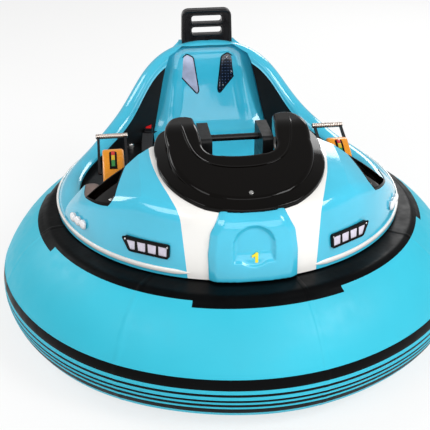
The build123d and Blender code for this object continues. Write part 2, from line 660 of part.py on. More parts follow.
# ---------------------------------------------------------------- write the nodes
def main():
    """Build every node and write it."""
    save("bumper_tube", bumper_tube())

    roof = front_roof()
    front_outer, under_front = front_form(), front_form(SHELL)
    front = front_outer - under_front
    opening = prism(opening_plan())
    room = seat_room()
    saddle_zone = prism(saddle_plan())
    panel = nose_panel(front_outer)
    lip, hood = cowl(roof)
    bezel, cells = headlamp()
    marker = side_marker()
    stripe = rim_stripe()
    stripe_cut = drum(STRIPE_PROUD + 1, STRIPE_Z - STRIPE_HALF, STRIPE_Z + STRIPE_HALF) - drum(
        -1.5, STRIPE_Z - STRIPE_HALF - 1, STRIPE_Z + STRIPE_HALF + 1)
    stripe_cut = stripe_cut - stripe_gap()
    save("front_saddle", BODY * (largest((front & saddle_zone) - opening - prism(u_mouth_plan()))))
    scoop_cut = prism(scoop_plan())
    flank = largest((front & block(0, 900, -900, 900, 0, 1000)) - saddle_zone - opening - scoop_cut)
    flank = flank - bezel - cells - stripe_cut - marker
    both_sides("flank", BODY * flank)
    dish = largest(scoop(front_outer, roof)) - stripe_cut - marker
    both_sides("scoop_panel", BODY * dish)
    back = swept_round(roll_face) - room - stripe_cut
    rest = headrest()
    seat_body = seat() - rest
    save("rear_shell", BODY * largest(back - rest - seat_body))
    save("nose_panel", BODY * largest(panel))
    save("cowl_lip", BODY * lip)
    save("cowl_hood", BODY * hood)
    save("arm_pads", BODY * (pads() - hood))
    save("lap_bar", BODY * lap_bar())
    half_stripe = stripe & block(0, 900, -900, 900, 0, 1000)
    both_sides("rim_stripe", BODY * half_stripe)
    both_sides("headlamp_bezel", BODY * bezel)
    both_sides("headlamp_cells", BODY * cells)
    both_sides("side_marker", BODY * marker)
    inset = back_inset() & seat_body & across(outline([(y, z) for y, z in SEAT_FACE[:5]] + [
        (y + 6, z) for y, z in reversed(SEAT_FACE[:5])]))
    both_sides("back_inset", BODY * inset)
    save("seat", BODY * (seat_body - inset - mirrored(inset)))
    save("headrest", BODY * rest)
    floor, low_wall, upper = tub(under_front)
    upper = upper - room - seat_body - dish - mirrored(dish) - bezel - mirrored(bezel)
    save("tub_floor", BODY * floor)
    save("tub_low_wall", BODY * low_wall)
    save("cockpit_tub", BODY * largest(upper))
    body, post = control_box()
    both_sides("control_box", BODY * body)
    both_sides("box_post", BODY * post)
    both_sides("control_grip", BODY * (grip() - body))
    save("chassis_frame", chassis())
    save("battery_pack", battery())
    both_sides("gear_motor", motor())
    both_sides("drive_tyre", drive_tyre())
    both_sides("drive_hub", drive_hub())
    for place, y in (("front", -CASTER_Y), ("rear", CASTER_Y)):
        save(f"caster_fork_{place}", caster_fork(y))
        save(f"caster_wheel_{place}", caster_wheel(y))


main()
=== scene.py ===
"""Looks of a round battery bumper car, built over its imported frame.

Metres, +Z up, the car faces -Y, and +X is the driver's left. The body's own centre is
BODY_BACK behind the ring's, so sizes given about the body are shifted by that much.
"""
import logging
import math
from dataclasses import dataclass
from enum import Enum
from typing import Callable, Iterable, Sequence

import bmesh
import bpy
import numpy as np
from mathutils import Matrix


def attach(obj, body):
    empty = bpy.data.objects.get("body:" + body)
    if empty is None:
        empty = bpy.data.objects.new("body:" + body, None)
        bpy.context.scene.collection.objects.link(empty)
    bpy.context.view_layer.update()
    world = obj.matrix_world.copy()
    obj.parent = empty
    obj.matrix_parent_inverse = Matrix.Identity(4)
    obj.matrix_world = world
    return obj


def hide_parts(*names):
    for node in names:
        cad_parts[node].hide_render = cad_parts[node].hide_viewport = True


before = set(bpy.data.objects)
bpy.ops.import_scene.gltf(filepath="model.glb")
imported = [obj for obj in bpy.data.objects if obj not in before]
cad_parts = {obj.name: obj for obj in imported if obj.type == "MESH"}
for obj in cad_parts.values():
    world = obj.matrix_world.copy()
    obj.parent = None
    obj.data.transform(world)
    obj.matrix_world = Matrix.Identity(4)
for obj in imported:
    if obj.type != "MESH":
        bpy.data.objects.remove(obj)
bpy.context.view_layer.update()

LOG = logging.getLogger("bumper_car")
MM = 0.001
BODY_BACK = 62.0                # mm from the ring's centre back to the body's centre
SHARP_ANGLE = math.radians(38)
BEVEL_ANGLE = math.radians(30)
MERGE_M = 1e-6
NOISE_LOW, NOISE_HIGH = 0.3, 0.7    # where most of a noise texture's values lie
SIDES = (("left", 1.0), ("right", -1.0))
CAR = "car"


# ---------------------------------------------------------------- finishes
WAVE_SHARE = 0.05
UNEVEN_SCALE = 26.0             # per metre: patches where the gloss is a little higher or lower
# Noise patches in a second colour: real scuffs, chips and dust on most finishes, and painted sheen on the
# black fabric.
WEAR_AND_SHEEN_SCALE = 70.0              # per metre
WEAR_AND_SHEEN_EDGE, WEAR_AND_SHEEN_EDGE_FALL, WEAR_AND_SHEEN_SOFT = 0.72, 0.24, 0.05
LAMP_SOFT = 1.3                 # a lamp's dot fades out at this many times its radius


def srgb(code: str) -> tuple[float, float, float, float]:
    """Turn an sRGB hex colour into linear RGBA.

    Args:
        code: six hex digits after a hash.
    Returns:
        Linear red, green, blue and alpha.
    """
    values = np.array([int(code[i:i + 2], 16) for i in (1, 3, 5)]) / 255.0
    linear = np.where(values <= 0.04045, values / 12.92, ((values + 0.055) / 1.055) ** 2.4)
    return (*[float(v) for v in linear], 1.0)


def add(tree: bpy.types.NodeTree, kind: str, sockets: dict | None = None,
        **settings: object) -> bpy.types.Node:
    """Add one node, set it up and link it.

    Args:
        tree: node tree that gets the node.
        kind: Blender's node type.
        sockets: value or output socket for each input, by its name or number.
        settings: the node's own properties.
    Returns:
        The new node.
    """
    node = tree.nodes.new(kind)
    for name, value in settings.items():
        setattr(node, name, value)
    for name, value in (sockets or {}).items():
        if isinstance(value, bpy.types.NodeSocket):
            tree.links.new(value, node.inputs[name])
        else:
            node.inputs[name].default_value = value
    return node


class Grain(Enum):
    """Relief that a surface has when it is looked at closely."""

    PEEL = "orange peel of a sprayed or moulded gloss surface"
    PEBBLE = "pebbled grain of moulded plastic or rubber"
    WEAVE = "threads under a coating"
    BRUSHED = "fine lines of a drawn or brushed bar"
    CAST = "rough skin of paint on cast or rolled metal"


@dataclass(frozen=True)
class Finish:
    """One real material and how its surface was made; sizes in millimetres.

    A woven grain is two crossed waves, whose bands lie 2 pi grain_mm apart: a wave texture of scale s
    has them 2 pi / (20 s) apart, and s is WAVE_SHARE / grain.
    """

    name: str
    colour: str
    roughness: float
    grain: Grain
    grain_mm: float
    relief: float
    drift: float = 0.06
    drift_mm: float = 160.0
    metallic: float = 0.0
    ior: float = 1.5
    coat: float = 0.0
    coat_roughness: float = 0.04
    sheen: float = 0.0
    specular: float = 0.5
    uneven: float = 0.06
    # Colour of noise patches: real wear and dust on most finishes, painted sheen on the black fabric.
    wear_and_sheen: str = ""
    wear_and_sheen_share: float = 0.0
    on_uv: bool = False

    def pattern(self, tree: bpy.types.NodeTree, coords: bpy.types.NodeSocket) -> bpy.types.NodeSocket:
        """Height pattern of the grain.

        Args:
            tree: the material's node tree.
            coords: coordinates in metres.
        Returns:
            Socket that carries a height from 0 to 1.
        """
        scale = 1.0 / (self.grain_mm * MM)
        if self.grain is Grain.PEBBLE:
            cells = add(tree, "ShaderNodeTexVoronoi", {"Vector": coords, "Scale": scale, "Randomness": 1.0},
                        feature="SMOOTH_F1")
            return cells.outputs["Distance"]
        if self.grain is Grain.WEAVE:
            wave = {"Vector": coords, "Scale": scale * WAVE_SHARE, "Distortion": 0.4}
            bands = [add(tree, "ShaderNodeTexWave", wave, bands_direction=axis).outputs["Fac"]
                     for axis in ("X", "Y")]
            return add(tree, "ShaderNodeMath", {0: bands[0], 1: bands[1]}, operation="MULTIPLY").outputs[0]
        if self.grain is Grain.BRUSHED:
            drawn_out = {"Vector": coords, "Scale": (0.06, 1.0, 1.0)}
            coords = add(tree, "ShaderNodeMapping", drawn_out).outputs[0]
        noise = {"Vector": coords, "Scale": scale, "Detail": 6.0 if self.grain is Grain.CAST else 2.0}
        return add(tree, "ShaderNodeTexNoise", noise).outputs["Fac"]

    def colours(self, tree: bpy.types.NodeTree, coords: bpy.types.NodeSocket) -> bpy.types.NodeSocket:
        """Base colour, which drifts slowly over the surface and shows patches of a second colour where it has
        one: real scuffs and dust on most finishes, and a painted brownish sheen on the black fabric.

        Args:
            tree: the material's node tree.
            coords: coordinates in metres.
        Returns:
            Socket that carries the colour.
        """
        base = np.array(srgb(self.colour))
        low, high = base * (1 - self.drift), np.minimum(base * (1 + self.drift), 1.0)
        slow = add(tree, "ShaderNodeTexNoise", {
            "Vector": coords, "Scale": 1.0 / (self.drift_mm * MM), "Detail": 3.0})
        ramp = add(tree, "ShaderNodeMapRange", {
            "Value": slow.outputs["Fac"], "From Min": NOISE_LOW, "From Max": NOISE_HIGH})
        mix = add(tree, "ShaderNodeMix", {0: ramp.outputs[0], 6: (*low[:3], 1.0), 7: (*high[:3], 1.0)},
                  data_type="RGBA")
        if not self.wear_and_sheen:
            return mix.outputs[2]
        # Patches of the second colour: real wear and dust on most finishes, painted brownish sheen on the
        # black fabric.
        wear_and_sheen_noise = add(tree, "ShaderNodeTexNoise", {
            "Vector": coords, "Scale": WEAR_AND_SHEEN_SCALE, "Detail": 8.0, "Roughness": 0.7})
        edge = WEAR_AND_SHEEN_EDGE - WEAR_AND_SHEEN_EDGE_FALL * self.wear_and_sheen_share
        mask = add(tree, "ShaderNodeMapRange", {
            "Value": wear_and_sheen_noise.outputs["Fac"], "From Min": edge, "From Max": edge + WEAR_AND_SHEEN_SOFT})
        return add(tree, "ShaderNodeMix", {0: mask.outputs[0], 6: mix.outputs[2], 7: srgb(self.wear_and_sheen)},
                   data_type="RGBA").outputs[2]

    def build(self) -> bpy.types.Material:
        """Make the material, or give back the one already made."""
        if self.name in bpy.data.materials:
            return bpy.data.materials[self.name]
        material = bpy.data.materials.new(self.name)
        material.use_nodes = True
        tree = material.node_tree
        tree.nodes.clear()
        places = add(tree, "ShaderNodeTexCoord")
        solid = places.outputs["Object"]
        fine = add(tree, "ShaderNodeTexNoise", {"Vector": solid, "Scale": UNEVEN_SCALE, "Detail": 4.0})
        rough = add(tree, "ShaderNodeMapRange", {
            "Value": fine.outputs["Fac"], "From Min": NOISE_LOW, "From Max": NOISE_HIGH,
            "To Min": max(self.roughness - self.uneven, 0.02), "To Max": self.roughness + self.uneven})
        height = self.pattern(tree, places.outputs["UV"] if self.on_uv else solid)
        bump = add(tree, "ShaderNodeBump", {"Height": height, "Strength": 1.0, "Distance": self.relief * MM})
        shader = add(tree, "ShaderNodeBsdfPrincipled", {
            "Base Color": self.colours(tree, solid), "Metallic": self.metallic, "Roughness": rough.outputs[0],
            "IOR": self.ior, "Coat Weight": self.coat, "Coat Roughness": self.coat_roughness,
            "Sheen Weight": self.sheen, "Specular IOR Level": self.specular, "Normal": bump.outputs[0]})
        add(tree, "ShaderNodeOutputMaterial", {"Surface": shader.outputs[0]})
        return material


@dataclass(frozen=True)
class LedPanel(Finish):
    """Dark glossy panel with rows of small bright lamps behind it."""

    lamp: str = "#6F86B4"
    pitch_mm: float = 13.0
    lamp_mm: float = 1.3

    def colours(self, tree: bpy.types.NodeTree, coords: bpy.types.NodeSocket) -> bpy.types.NodeSocket:
        """Panel colour with a regular grid of dots, from cells that have no randomness.

        Args:
            tree: the material's node tree.
            coords: coordinates in metres.
        Returns:
            Socket that carries the colour.
        """
        scale = 1.0 / (self.pitch_mm * MM)
        flat = add(tree, "ShaderNodeMapping", {"Vector": coords, "Scale": (1.0, 0.0, 1.0)})
        cells = add(tree, "ShaderNodeTexVoronoi", {
            "Vector": flat.outputs[0], "Scale": scale, "Randomness": 0.0})
        edge = self.lamp_mm / self.pitch_mm
        mask = add(tree, "ShaderNodeMapRange", {
            "Value": cells.outputs["Distance"], "From Min": edge, "From Max": edge * LAMP_SOFT,
            "To Min": 1.0, "To Max": 0.0})
        return add(tree, "ShaderNodeMix", {0: mask.outputs[0], 6: srgb(self.colour), 7: srgb(self.lamp)},
                   data_type="RGBA").outputs[2]


# Gel coat sprayed in a polished mould: deep even gloss, with the faint waviness of glass fibre under it.
GEL_BLUE = Finish(
    "gel_coat_blue", "#3FBDDC", 0.13, Grain.PEEL, 46.0, 0.30, drift=0.05, coat=0.6, uneven=0.04)
GEL_WHITE = Finish(
    "gel_coat_white", "#EFEDE9", 0.16, Grain.PEEL, 42.0, 0.30, drift=0.03, coat=0.6, uneven=0.04)
# Vacuum-formed gloss acrylic-faced plastic: near black and warm, with mirror-like streaks.
GLOSS_BLACK = Finish(
    "formed_gloss_black_plastic", "#040201", 0.08, Grain.PEEL, 34.0, 0.22, drift=0.2, coat=0.05,
    specular=0.14, uneven=0.04)
# Injection-moulded grained ABS: soft grey highlights over black; grain drawn at 3 mm so that it shows.
GRAINED_BLACK = Finish(
    "moulded_grained_black_abs", "#0D0E10", 0.42, Grain.PEBBLE, 3.0, 0.3, drift=0.18, specular=0.3,
    uneven=0.1)
SATIN_BLACK = Finish(
    "moulded_satin_black_abs", "#121114", 0.28, Grain.PEBBLE, 2.5, 0.12, drift=0.12, specular=0.4,
    uneven=0.08)
# PVC-coated polyester, hot-air welded: soft broad sheen. Its 1 mm threads are too fine to see, so what
# is drawn is a faint crossed relief 31 mm apart.
PVC_CYAN = Finish(
    "pvc_coated_fabric_cyan", "#2CB8D1", 0.48, Grain.WEAVE, 5.0, 0.08, drift=0.04, drift_mm=300.0,
    specular=0.4, uneven=0.07, on_uv=True)
# The brownish patches given as its scuff colour are painted sheen, not wear.
PVC_BLACK = Finish(
    "pvc_coated_fabric_black", "#030405", 0.38, Grain.WEAVE, 5.0, 0.10, drift=0.25, specular=0.07,
    uneven=0.08, wear_and_sheen="#15110F", wear_and_sheen_share=0.2, on_uv=True)
# Frosted polycarbonate lens with moulded flutes: milky lilac white.
LAMP_LENS = Finish(
    "frosted_polycarbonate_lens", "#D3CCDC", 0.22, Grain.PEEL, 4.0, 0.15, drift=0.08, drift_mm=14.0,
    coat=0.5)
MARKER_LENS = Finish("opal_acrylic_marker", "#F1F0F2", 0.2, Grain.PEEL, 6.0, 0.1, drift=0.04, coat=0.5)
INSET_LENS = Finish(
    "pearl_acrylic_inset", "#AEB5D0", 0.16, Grain.PEEL, 9.0, 0.25, drift=0.2, drift_mm=40.0, coat=0.6)
INSET_LEDS = LedPanel("smoked_acrylic_with_lamps", "#081525", 0.14, Grain.PEEL, 12.0, 0.1, coat=0.6)
# Glossy amber ABS, and the printed film of the battery meter.
AMBER = Finish(
    "moulded_amber_abs", "#E8920F", 0.26, Grain.PEEL, 9.0, 0.15, drift=0.08, drift_mm=70.0, coat=0.3)
METER_RED = Finish("meter_red_polyester", "#C4221B", 0.25, Grain.PEEL, 5.0, 0.05, coat=0.5)
METER_YELLOW = Finish("meter_yellow_polyester", "#D2AE1C", 0.25, Grain.PEEL, 5.0, 0.05, coat=0.5)
METER_GREEN = Finish("meter_green_polyester", "#2C8538", 0.25, Grain.PEEL, 5.0, 0.05, coat=0.5)
FIGURE_YELLOW = Finish("cut_vinyl_yellow", "#FFE22E", 0.35, Grain.PEEL, 6.0, 0.05, drift=0.03)
BUCKLE_RED = Finish("moulded_red_abs", "#D81A1E", 0.3, Grain.PEEL, 5.0, 0.06, drift=0.08)
# Polished stainless, knurled bar and zinc-plated fasteners: bright lines along the bar, duller on zinc.
BRIGHT_STEEL = Finish(
    "polished_stainless_steel", "#D9D8D6", 0.16, Grain.BRUSHED, 1.5, 0.05, drift=0.06, metallic=1.0)
BRUSHED_BAR = Finish(
    "knurled_aluminium_grip", "#D7CBC2", 0.3, Grain.BRUSHED, 1.2, 0.10, drift=0.1, metallic=1.0)
ZINC = Finish(
    "zinc_plated_steel", "#B9BBBE", 0.38, Grain.CAST, 9.0, 0.08, drift=0.15, drift_mm=12.0,
    metallic=1.0)
# Enamelled tube and painted castings: satin skin, chipped to primer in places.
FRAME_ENAMEL = Finish(
    "black_enamelled_steel", "#131415", 0.32, Grain.CAST, 14.0, 0.12, drift=0.2, coat=0.3,
    wear_and_sheen="#54504C", wear_and_sheen_share=0.25)
MOTOR_PAINT = Finish(
    "grey_painted_casting", "#37393B", 0.45, Grain.CAST, 7.0, 0.3, drift=0.15, wear_and_sheen="#77726A",
    wear_and_sheen_share=0.3)
BATTERY_CASE = Finish("polypropylene_battery_case", "#1C1D20", 0.42, Grain.PEBBLE, 2.5, 0.15, drift=0.1)
# Solid rubber: matt and slightly dusty.
RUBBER = Finish(
    "solid_black_rubber", "#161616", 0.68, Grain.PEBBLE, 2.0, 0.2, drift=0.25, drift_mm=30.0,
    wear_and_sheen="#3A3733", wear_and_sheen_share=0.5)
HUB_PAINT = Finish("grey_powder_coated_hub", "#8E9194", 0.4, Grain.CAST, 5.0, 0.15, drift=0.08)
PAD_VINYL = Finish(
    "grained_grey_brown_vinyl", "#8F7A73", 0.5, Grain.PEBBLE, 2.5, 0.3, drift=0.15, drift_mm=25.0)
WEBBING = Finish(
    "woven_polyester_webbing", "#1A1B1E", 0.62, Grain.WEAVE, 2.0, 0.35, drift=0.12, sheen=0.3,
    on_uv=True)

NODE_FINISHES: dict[str, Finish] = {
    "front_saddle": GEL_WHITE, "flank": GEL_BLUE, "rear_shell": GEL_BLUE, "nose_panel": GEL_BLUE,
    "seat": GEL_BLUE, "scoop_panel": GLOSS_BLACK, "cowl_lip": GLOSS_BLACK, "cowl_hood": GLOSS_BLACK,
    "headlamp_bezel": GLOSS_BLACK, "headlamp_cells": BRIGHT_STEEL, "side_marker": MARKER_LENS,
    "back_inset_right": INSET_LENS, "back_inset_left": INSET_LEDS, "arm_pads": GRAINED_BLACK,
    "cockpit_tub": GRAINED_BLACK, "tub_floor": GRAINED_BLACK, "tub_low_wall": GRAINED_BLACK,
    "lap_bar": SATIN_BLACK, "headrest": SATIN_BLACK, "box_post": SATIN_BLACK,
    "control_grip": SATIN_BLACK, "chassis_frame": FRAME_ENAMEL, "battery_pack": BATTERY_CASE,
    "gear_motor": MOTOR_PAINT, "drive_hub": HUB_PAINT, "caster_fork": FRAME_ENAMEL,
    "caster_wheel": RUBBER}


def dress_nodes() -> None:
    """Give every CAD node that stays in view the finish of its kind."""
    for name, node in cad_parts.items():
        found = [key for key in NODE_FINISHES if name.startswith(key)]
        if found:
            node.data.materials.clear()
            node.data.materials.append(NODE_FINISHES[max(found, key=len)].build())


# ---------------------------------------------------------------- surfaces
@dataclass
class Shape:
    """Points (n, 3) in metres, and faces as lists of point numbers."""

    points: np.ndarray
    faces: list[list[int]]

    def placed(self, frame_matrix: np.ndarray) -> "Shape":
        """The shape carried by a 4 x 4 matrix."""
        points = self.points @ frame_matrix[:3, :3].T + frame_matrix[:3, 3]
        return Shape(points, self.faces)

    def mirrored(self, side: float) -> "Shape":
        """The shape on the +X side as it is, or reflected in X for side -1."""
        return Shape(self.points * np.array([side, 1.0, 1.0]), self.faces)


def joined(shapes: Iterable[Shape]) -> Shape:
    """Put several shapes into one.

    Args:
        shapes: the shapes, in order.
    Returns:
        One shape with their points and faces one after another.
    """
    points, faces, start = [], [], 0
    for shape in shapes:
        points.append(shape.points)
        faces += [[i + start for i in face] for face in shape.faces]
        start += len(shape.points)
    return Shape(np.concatenate(points), faces)


def lattice(rows: int, cols: int, wrap_rows: bool = False, wrap_cols: bool = False) -> np.ndarray:
    """Quads of a grid of points numbered row by row.

    Args:
        rows: number of rows.
        cols: number of columns.
        wrap_rows: the last row joins the first.
        wrap_cols: the last column joins the first.
    Returns:
        Array (m, 4) of point numbers.
    """
    r = np.arange(rows if wrap_rows else rows - 1)[:, None]
    c = np.arange(cols if wrap_cols else cols - 1)[None, :]
    r1, c1 = (r + 1) % rows, (c + 1) % cols
    quads = np.stack([r * cols + c, r * cols + c1, r1 * cols + c1, r1 * cols + c], axis=-1)
    return quads.reshape(-1, 4)


def slab(front: np.ndarray, back: np.ndarray) -> Shape:
    """Closed solid between two grids of the same size: both grids, and a strip round their border.

    Args:
        front: points (rows, cols, 3) of the front.
        back: points (rows, cols, 3) of the back.
    Returns:
        The closed shape.
    """
    rows, cols = front.shape[:2]
    quads = lattice(rows, cols)
    count = rows * cols
    top, bottom = np.arange(cols), np.arange(cols) + (rows - 1) * cols
    left, right = np.arange(rows) * cols, np.arange(rows) * cols + cols - 1
    border = np.concatenate([top[:-1], right[:-1], bottom[::-1][:-1], left[::-1][:-1]])
    following = np.roll(border, -1)
    strip = np.stack([border, border + count, following + count, following], axis=-1)
    faces = np.concatenate([quads, quads[:, ::-1] + count, strip])
    return Shape(np.concatenate([front.reshape(-1, 3), back.reshape(-1, 3)]), faces.tolist())


def swept(path: np.ndarray, section: np.ndarray, up: Sequence[float], closed: bool = False,
          scale: np.ndarray | None = None) -> Shape:
    """Section carried along a path.

    At each point the section's first coordinate lies along up x tangent, and its second along the
    direction square to that and to the tangent.

    Args:
        path: points (n, 3) in metres.
        section: closed outline (m, 2) in metres.
        up: direction that the section's second coordinate leans to, one for all or (n, 3).
        closed: the path joins its own start.
        scale: factor on the section at each point.
    Returns:
        The closed shape, with flat ends on an open path.
    """
    ahead = np.roll(path, -1, axis=0) - np.roll(path, 1, axis=0) if closed else np.gradient(path, axis=0)
    ahead /= np.linalg.norm(ahead, axis=1, keepdims=True)
    side = np.cross(np.broadcast_to(np.asarray(up, float), path.shape), ahead)
    side /= np.linalg.norm(side, axis=1, keepdims=True)
    over = np.cross(ahead, side)
    size = np.ones(len(path)) if scale is None else scale
    a = section[None, :, 0:1] * side[:, None, :] + section[None, :, 1:2] * over[:, None, :]
    points = path[:, None, :] + a * size[:, None, None]
    rows, cols = points.shape[:2]
    faces = lattice(rows, cols, wrap_rows=closed, wrap_cols=True).tolist()
    if not closed:
        faces += [list(range(cols)), list(range((rows - 1) * cols, rows * cols))]
    return Shape(points.reshape(-1, 3), faces)


def turned(profile: Sequence[tuple[float, float]], segments: int = 32) -> Shape:
    """Turned piece: an open profile that starts and ends on the axis, spun about local Z.

    Args:
        profile: (radius, height) in millimetres, with radius 0 at both ends.
        segments: columns round the axis.
    Returns:
        The closed shape, with its poles merged when it is made a mesh.
    """
    line = np.array(profile, float) * MM
    angle = np.linspace(0, 2 * np.pi, segments, endpoint=False)
    points = np.stack([line[:, 0:1] * np.cos(angle), line[:, 0:1] * np.sin(angle),
                       np.repeat(line[:, 1:2], segments, axis=1)], axis=-1)
    return Shape(points.reshape(-1, 3), lattice(len(line), segments, wrap_cols=True).tolist())


def ringed(profile: np.ndarray, segments: int = 96) -> Shape:
    """Ring: a closed profile (radius, height) in millimetres, spun about local Z."""
    line = profile * MM
    angle = np.linspace(0, 2 * np.pi, segments, endpoint=False)
    points = np.stack([line[:, 0:1] * np.cos(angle), line[:, 0:1] * np.sin(angle),
                       np.repeat(line[:, 1:2], segments, axis=1)], axis=-1)
    return Shape(points.reshape(-1, 3), lattice(len(line), segments, wrap_rows=True, wrap_cols=True).tolist())


def plate(outline: Sequence[tuple[float, float]], low: float, high: float) -> Shape:
    """Flat plate: an outline in local X and Y, between two local heights, all in millimetres.

    Args:
        outline: corner points in order.
        low: height of its back.
        high: height of its front.
    Returns:
        The closed shape.
    """
    flat = np.array(outline, float)
    count = len(flat)
    points = np.concatenate([np.column_stack([flat, np.full(count, z)]) for z in (low, high)]) * MM
    sides = [[i, (i + 1) % count, (i + 1) % count + count, i + count] for i in range(count)]
    return Shape(points, sides + [list(range(count)), list(range(count, 2 * count))])


def frame_at(origin: Sequence[float], x_axis: Sequence[float], z_axis: Sequence[float]) -> np.ndarray:
    """Matrix of a local frame.

    Args:
        origin: its origin in metres.
        x_axis: its X direction, made square to Z.
        z_axis: its Z direction.
    Returns:
        A 4 x 4 matrix.
    """
    z = np.array(z_axis, float) / np.linalg.norm(z_axis)
    x = np.array(x_axis, float) - z * np.dot(x_axis, z)
    x /= np.linalg.norm(x)
    matrix = np.eye(4)
    matrix[:3, :3] = np.column_stack([x, np.cross(z, x), z])
    matrix[:3, 3] = origin
    return matrix


def facing(origin: Sequence[float], z_axis: Sequence[float]) -> np.ndarray:
    """Local frame at a point with its Z along a direction, and any X square to it."""
    helper = (1.0, 0.0, 0.0) if abs(z_axis[0]) < 0.8 * np.linalg.norm(z_axis) else (0.0, 1.0, 0.0)
    return frame_at(origin, helper, z_axis)


def body_point(x: float, y: float, z: float) -> tuple[float, float, float]:
    """Point given in millimetres about the body's centre, in metres in the car's frame."""
    return x * MM, (y + BODY_BACK) * MM, z * MM


def disc_section(half_wide: float, half_high: float, count: int = 12, power: float = 2.0) -> np.ndarray:
    """Rounded section: a superellipse with the given half sizes in millimetres.

    Args:
        half_wide: half its width.
        half_high: half its height.
        count: number of points.
        power: 2 for an ellipse, more for a squarer one.
    Returns:
        Array (count, 2) in metres.
    """
    t = np.linspace(0, 2 * np.pi, count, endpoint=False)
    c, s = np.cos(t), np.sin(t)
    x = half_wide * np.sign(c) * np.abs(c) ** (2 / power)
    y = half_high * np.sign(s) * np.abs(s) ** (2 / power)
    return np.column_stack([x, y]) * MM


def rounded_loop(corners: Sequence[tuple[float, float]], radius: float, per_corner: int = 7) -> np.ndarray:
    """Closed outline whose corners are rounded.

    Each corner is a quadratic curve from a point short of it on one side to one on the other side:
    (1-t)^2 a + 2 t (1-t) corner + t^2 b.

    Args:
        corners: corner points in order.
        radius: how far from the corner the curve starts, in millimetres.
        per_corner: points on each corner.
    Returns:
        Array (n, 2) in millimetres.
    """
    at = np.array(corners, float)
    back, ahead = np.roll(at, 1, axis=0) - at, np.roll(at, -1, axis=0) - at
    a = at + back / np.linalg.norm(back, axis=1, keepdims=True) * radius
    b = at + ahead / np.linalg.norm(ahead, axis=1, keepdims=True) * radius
    t = np.linspace(0, 1, per_corner)[None, :, None]
    return ((1 - t) ** 2 * a[:, None] + 2 * t * (1 - t) * at[:, None] + t ** 2 * b[:, None]).reshape(-1, 2)


def filled(points: np.ndarray, step: float, closed: bool = True) -> np.ndarray:
    """The same line with its points evenly spaced.

    Args:
        points: points (n, d).
        step: distance between points.
        closed: the line joins its own start.
    Returns:
        Array (m, d), without the repeated start on a closed line.
    """
    line = np.vstack([points, points[:1]]) if closed else points
    run = np.concatenate([[0], np.cumsum(np.linalg.norm(np.diff(line, axis=0), axis=1))])
    count = max(int(round(run[-1] / step)), 4)
    at = np.linspace(0, run[-1], count, endpoint=False) if closed else np.linspace(0, run[-1], count + 1)
    return np.column_stack([np.interp(at, run, line[:, i]) for i in range(line.shape[1])])


def chaikin(points: np.ndarray, rounds: int) -> np.ndarray:
    """Cut the corners of an open line: each run keeps its points at a quarter and three quarters.

    Args:
        points: points (n, d).
        rounds: how many times to cut.
    Returns:
        Array (m, d) with the same two ends.
    """
    for _ in range(rounds):
        near = 0.75 * points[:-1] + 0.25 * points[1:]
        far = 0.25 * points[:-1] + 0.75 * points[1:]
        cut = np.stack([near, far], axis=1).reshape(-1, points.shape[1])
        points = np.vstack([points[:1], cut, points[-1:]])
    return points


# Half sections (radius, height) in millimetres: a pan head with its socket, and a domed bolt on a washer.
SCREW_HEAD = (
    (0, -3), (6, -3), (6, 0.4), (5.6, 1.6), (4.4, 2.6), (3.0, 3.0), (2.4, 2.9), (2.3, 1.4), (0, 1.4))
BOLT_CAP = (
    (0, -4), (12, -4), (12, 1.2), (10.6, 1.8), (9.4, 2.0), (9.0, 6.2), (8.0, 7.6), (4.5, 8.4), (0, 8.6))


def fastener(profile: Sequence[tuple[float, float]], origin: Sequence[float], axis: Sequence[float],
             size: float = 1.0, segments: int = 20) -> Shape:
    """A turned screw, rivet or bolt head at a point, pointing along an axis.

    Args:
        profile: (radius, height) in millimetres.
        origin: where its seat is, in metres.
        axis: the way that its head points.
        size: factor on the profile.
        segments: columns round it.
    Returns:
        The placed shape.
    """
    return turned([(r * size, h * size) for r, h in profile], segments).placed(facing(origin, axis))


def piece(name: str, shape: Shape, finishes: Finish | Sequence[Finish], body: str = CAR,
          bevel: float = 0.0, chosen: np.ndarray | None = None,
          uv: np.ndarray | None = None) -> bpy.types.Object:
    """Make a mesh object, dress it and let it ride on its body.

    Args:
        name: the piece's name.
        shape: its closed surface.
        finishes: its material, or several.
        body: CAD body that it moves with.
        bevel: width in millimetres to round its edges by.
        chosen: which finish each face has.
        uv: map coordinates of each point, in metres.
    Returns:
        The new object.
    """
    mesh = bpy.data.meshes.new(name)
    mesh.from_pydata(shape.points.tolist(), [], shape.faces)
    several = [finishes] if isinstance(finishes, Finish) else list(finishes)
    for finish in several:
        mesh.materials.append(finish.build())
    if chosen is not None:
        mesh.polygons.foreach_set("material_index", chosen.astype(np.int32))
    if uv is not None:
        layer = mesh.uv_layers.new(name="cloth")
        loops = np.zeros(len(mesh.loops), np.int32)
        mesh.loops.foreach_get("vertex_index", loops)
        layer.data.foreach_set("uv", uv[loops].astype(np.float32).ravel())
    work = bmesh.new()
    work.from_mesh(mesh)
    bmesh.ops.remove_doubles(work, verts=work.verts, dist=MERGE_M)
    bmesh.ops.recalc_face_normals(work, faces=work.faces)
    work.to_mesh(mesh)
    work.free()
    mesh.shade_smooth()
    mesh.set_sharp_from_angle(angle=SHARP_ANGLE)
    thing = bpy.data.objects.new(name, mesh)
    bpy.context.scene.collection.objects.link(thing)
    if bevel:
        rounding = thing.modifiers.new("rounded_edges", "BEVEL")
        rounding.width = bevel * MM
        rounding.segments = 3
        rounding.angle_limit = BEVEL_ANGLE
        rounding.harden_normals = False
    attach(thing, body)
    LOG.info("%s: %d faces on %s", name, len(mesh.polygons), body)
    return thing


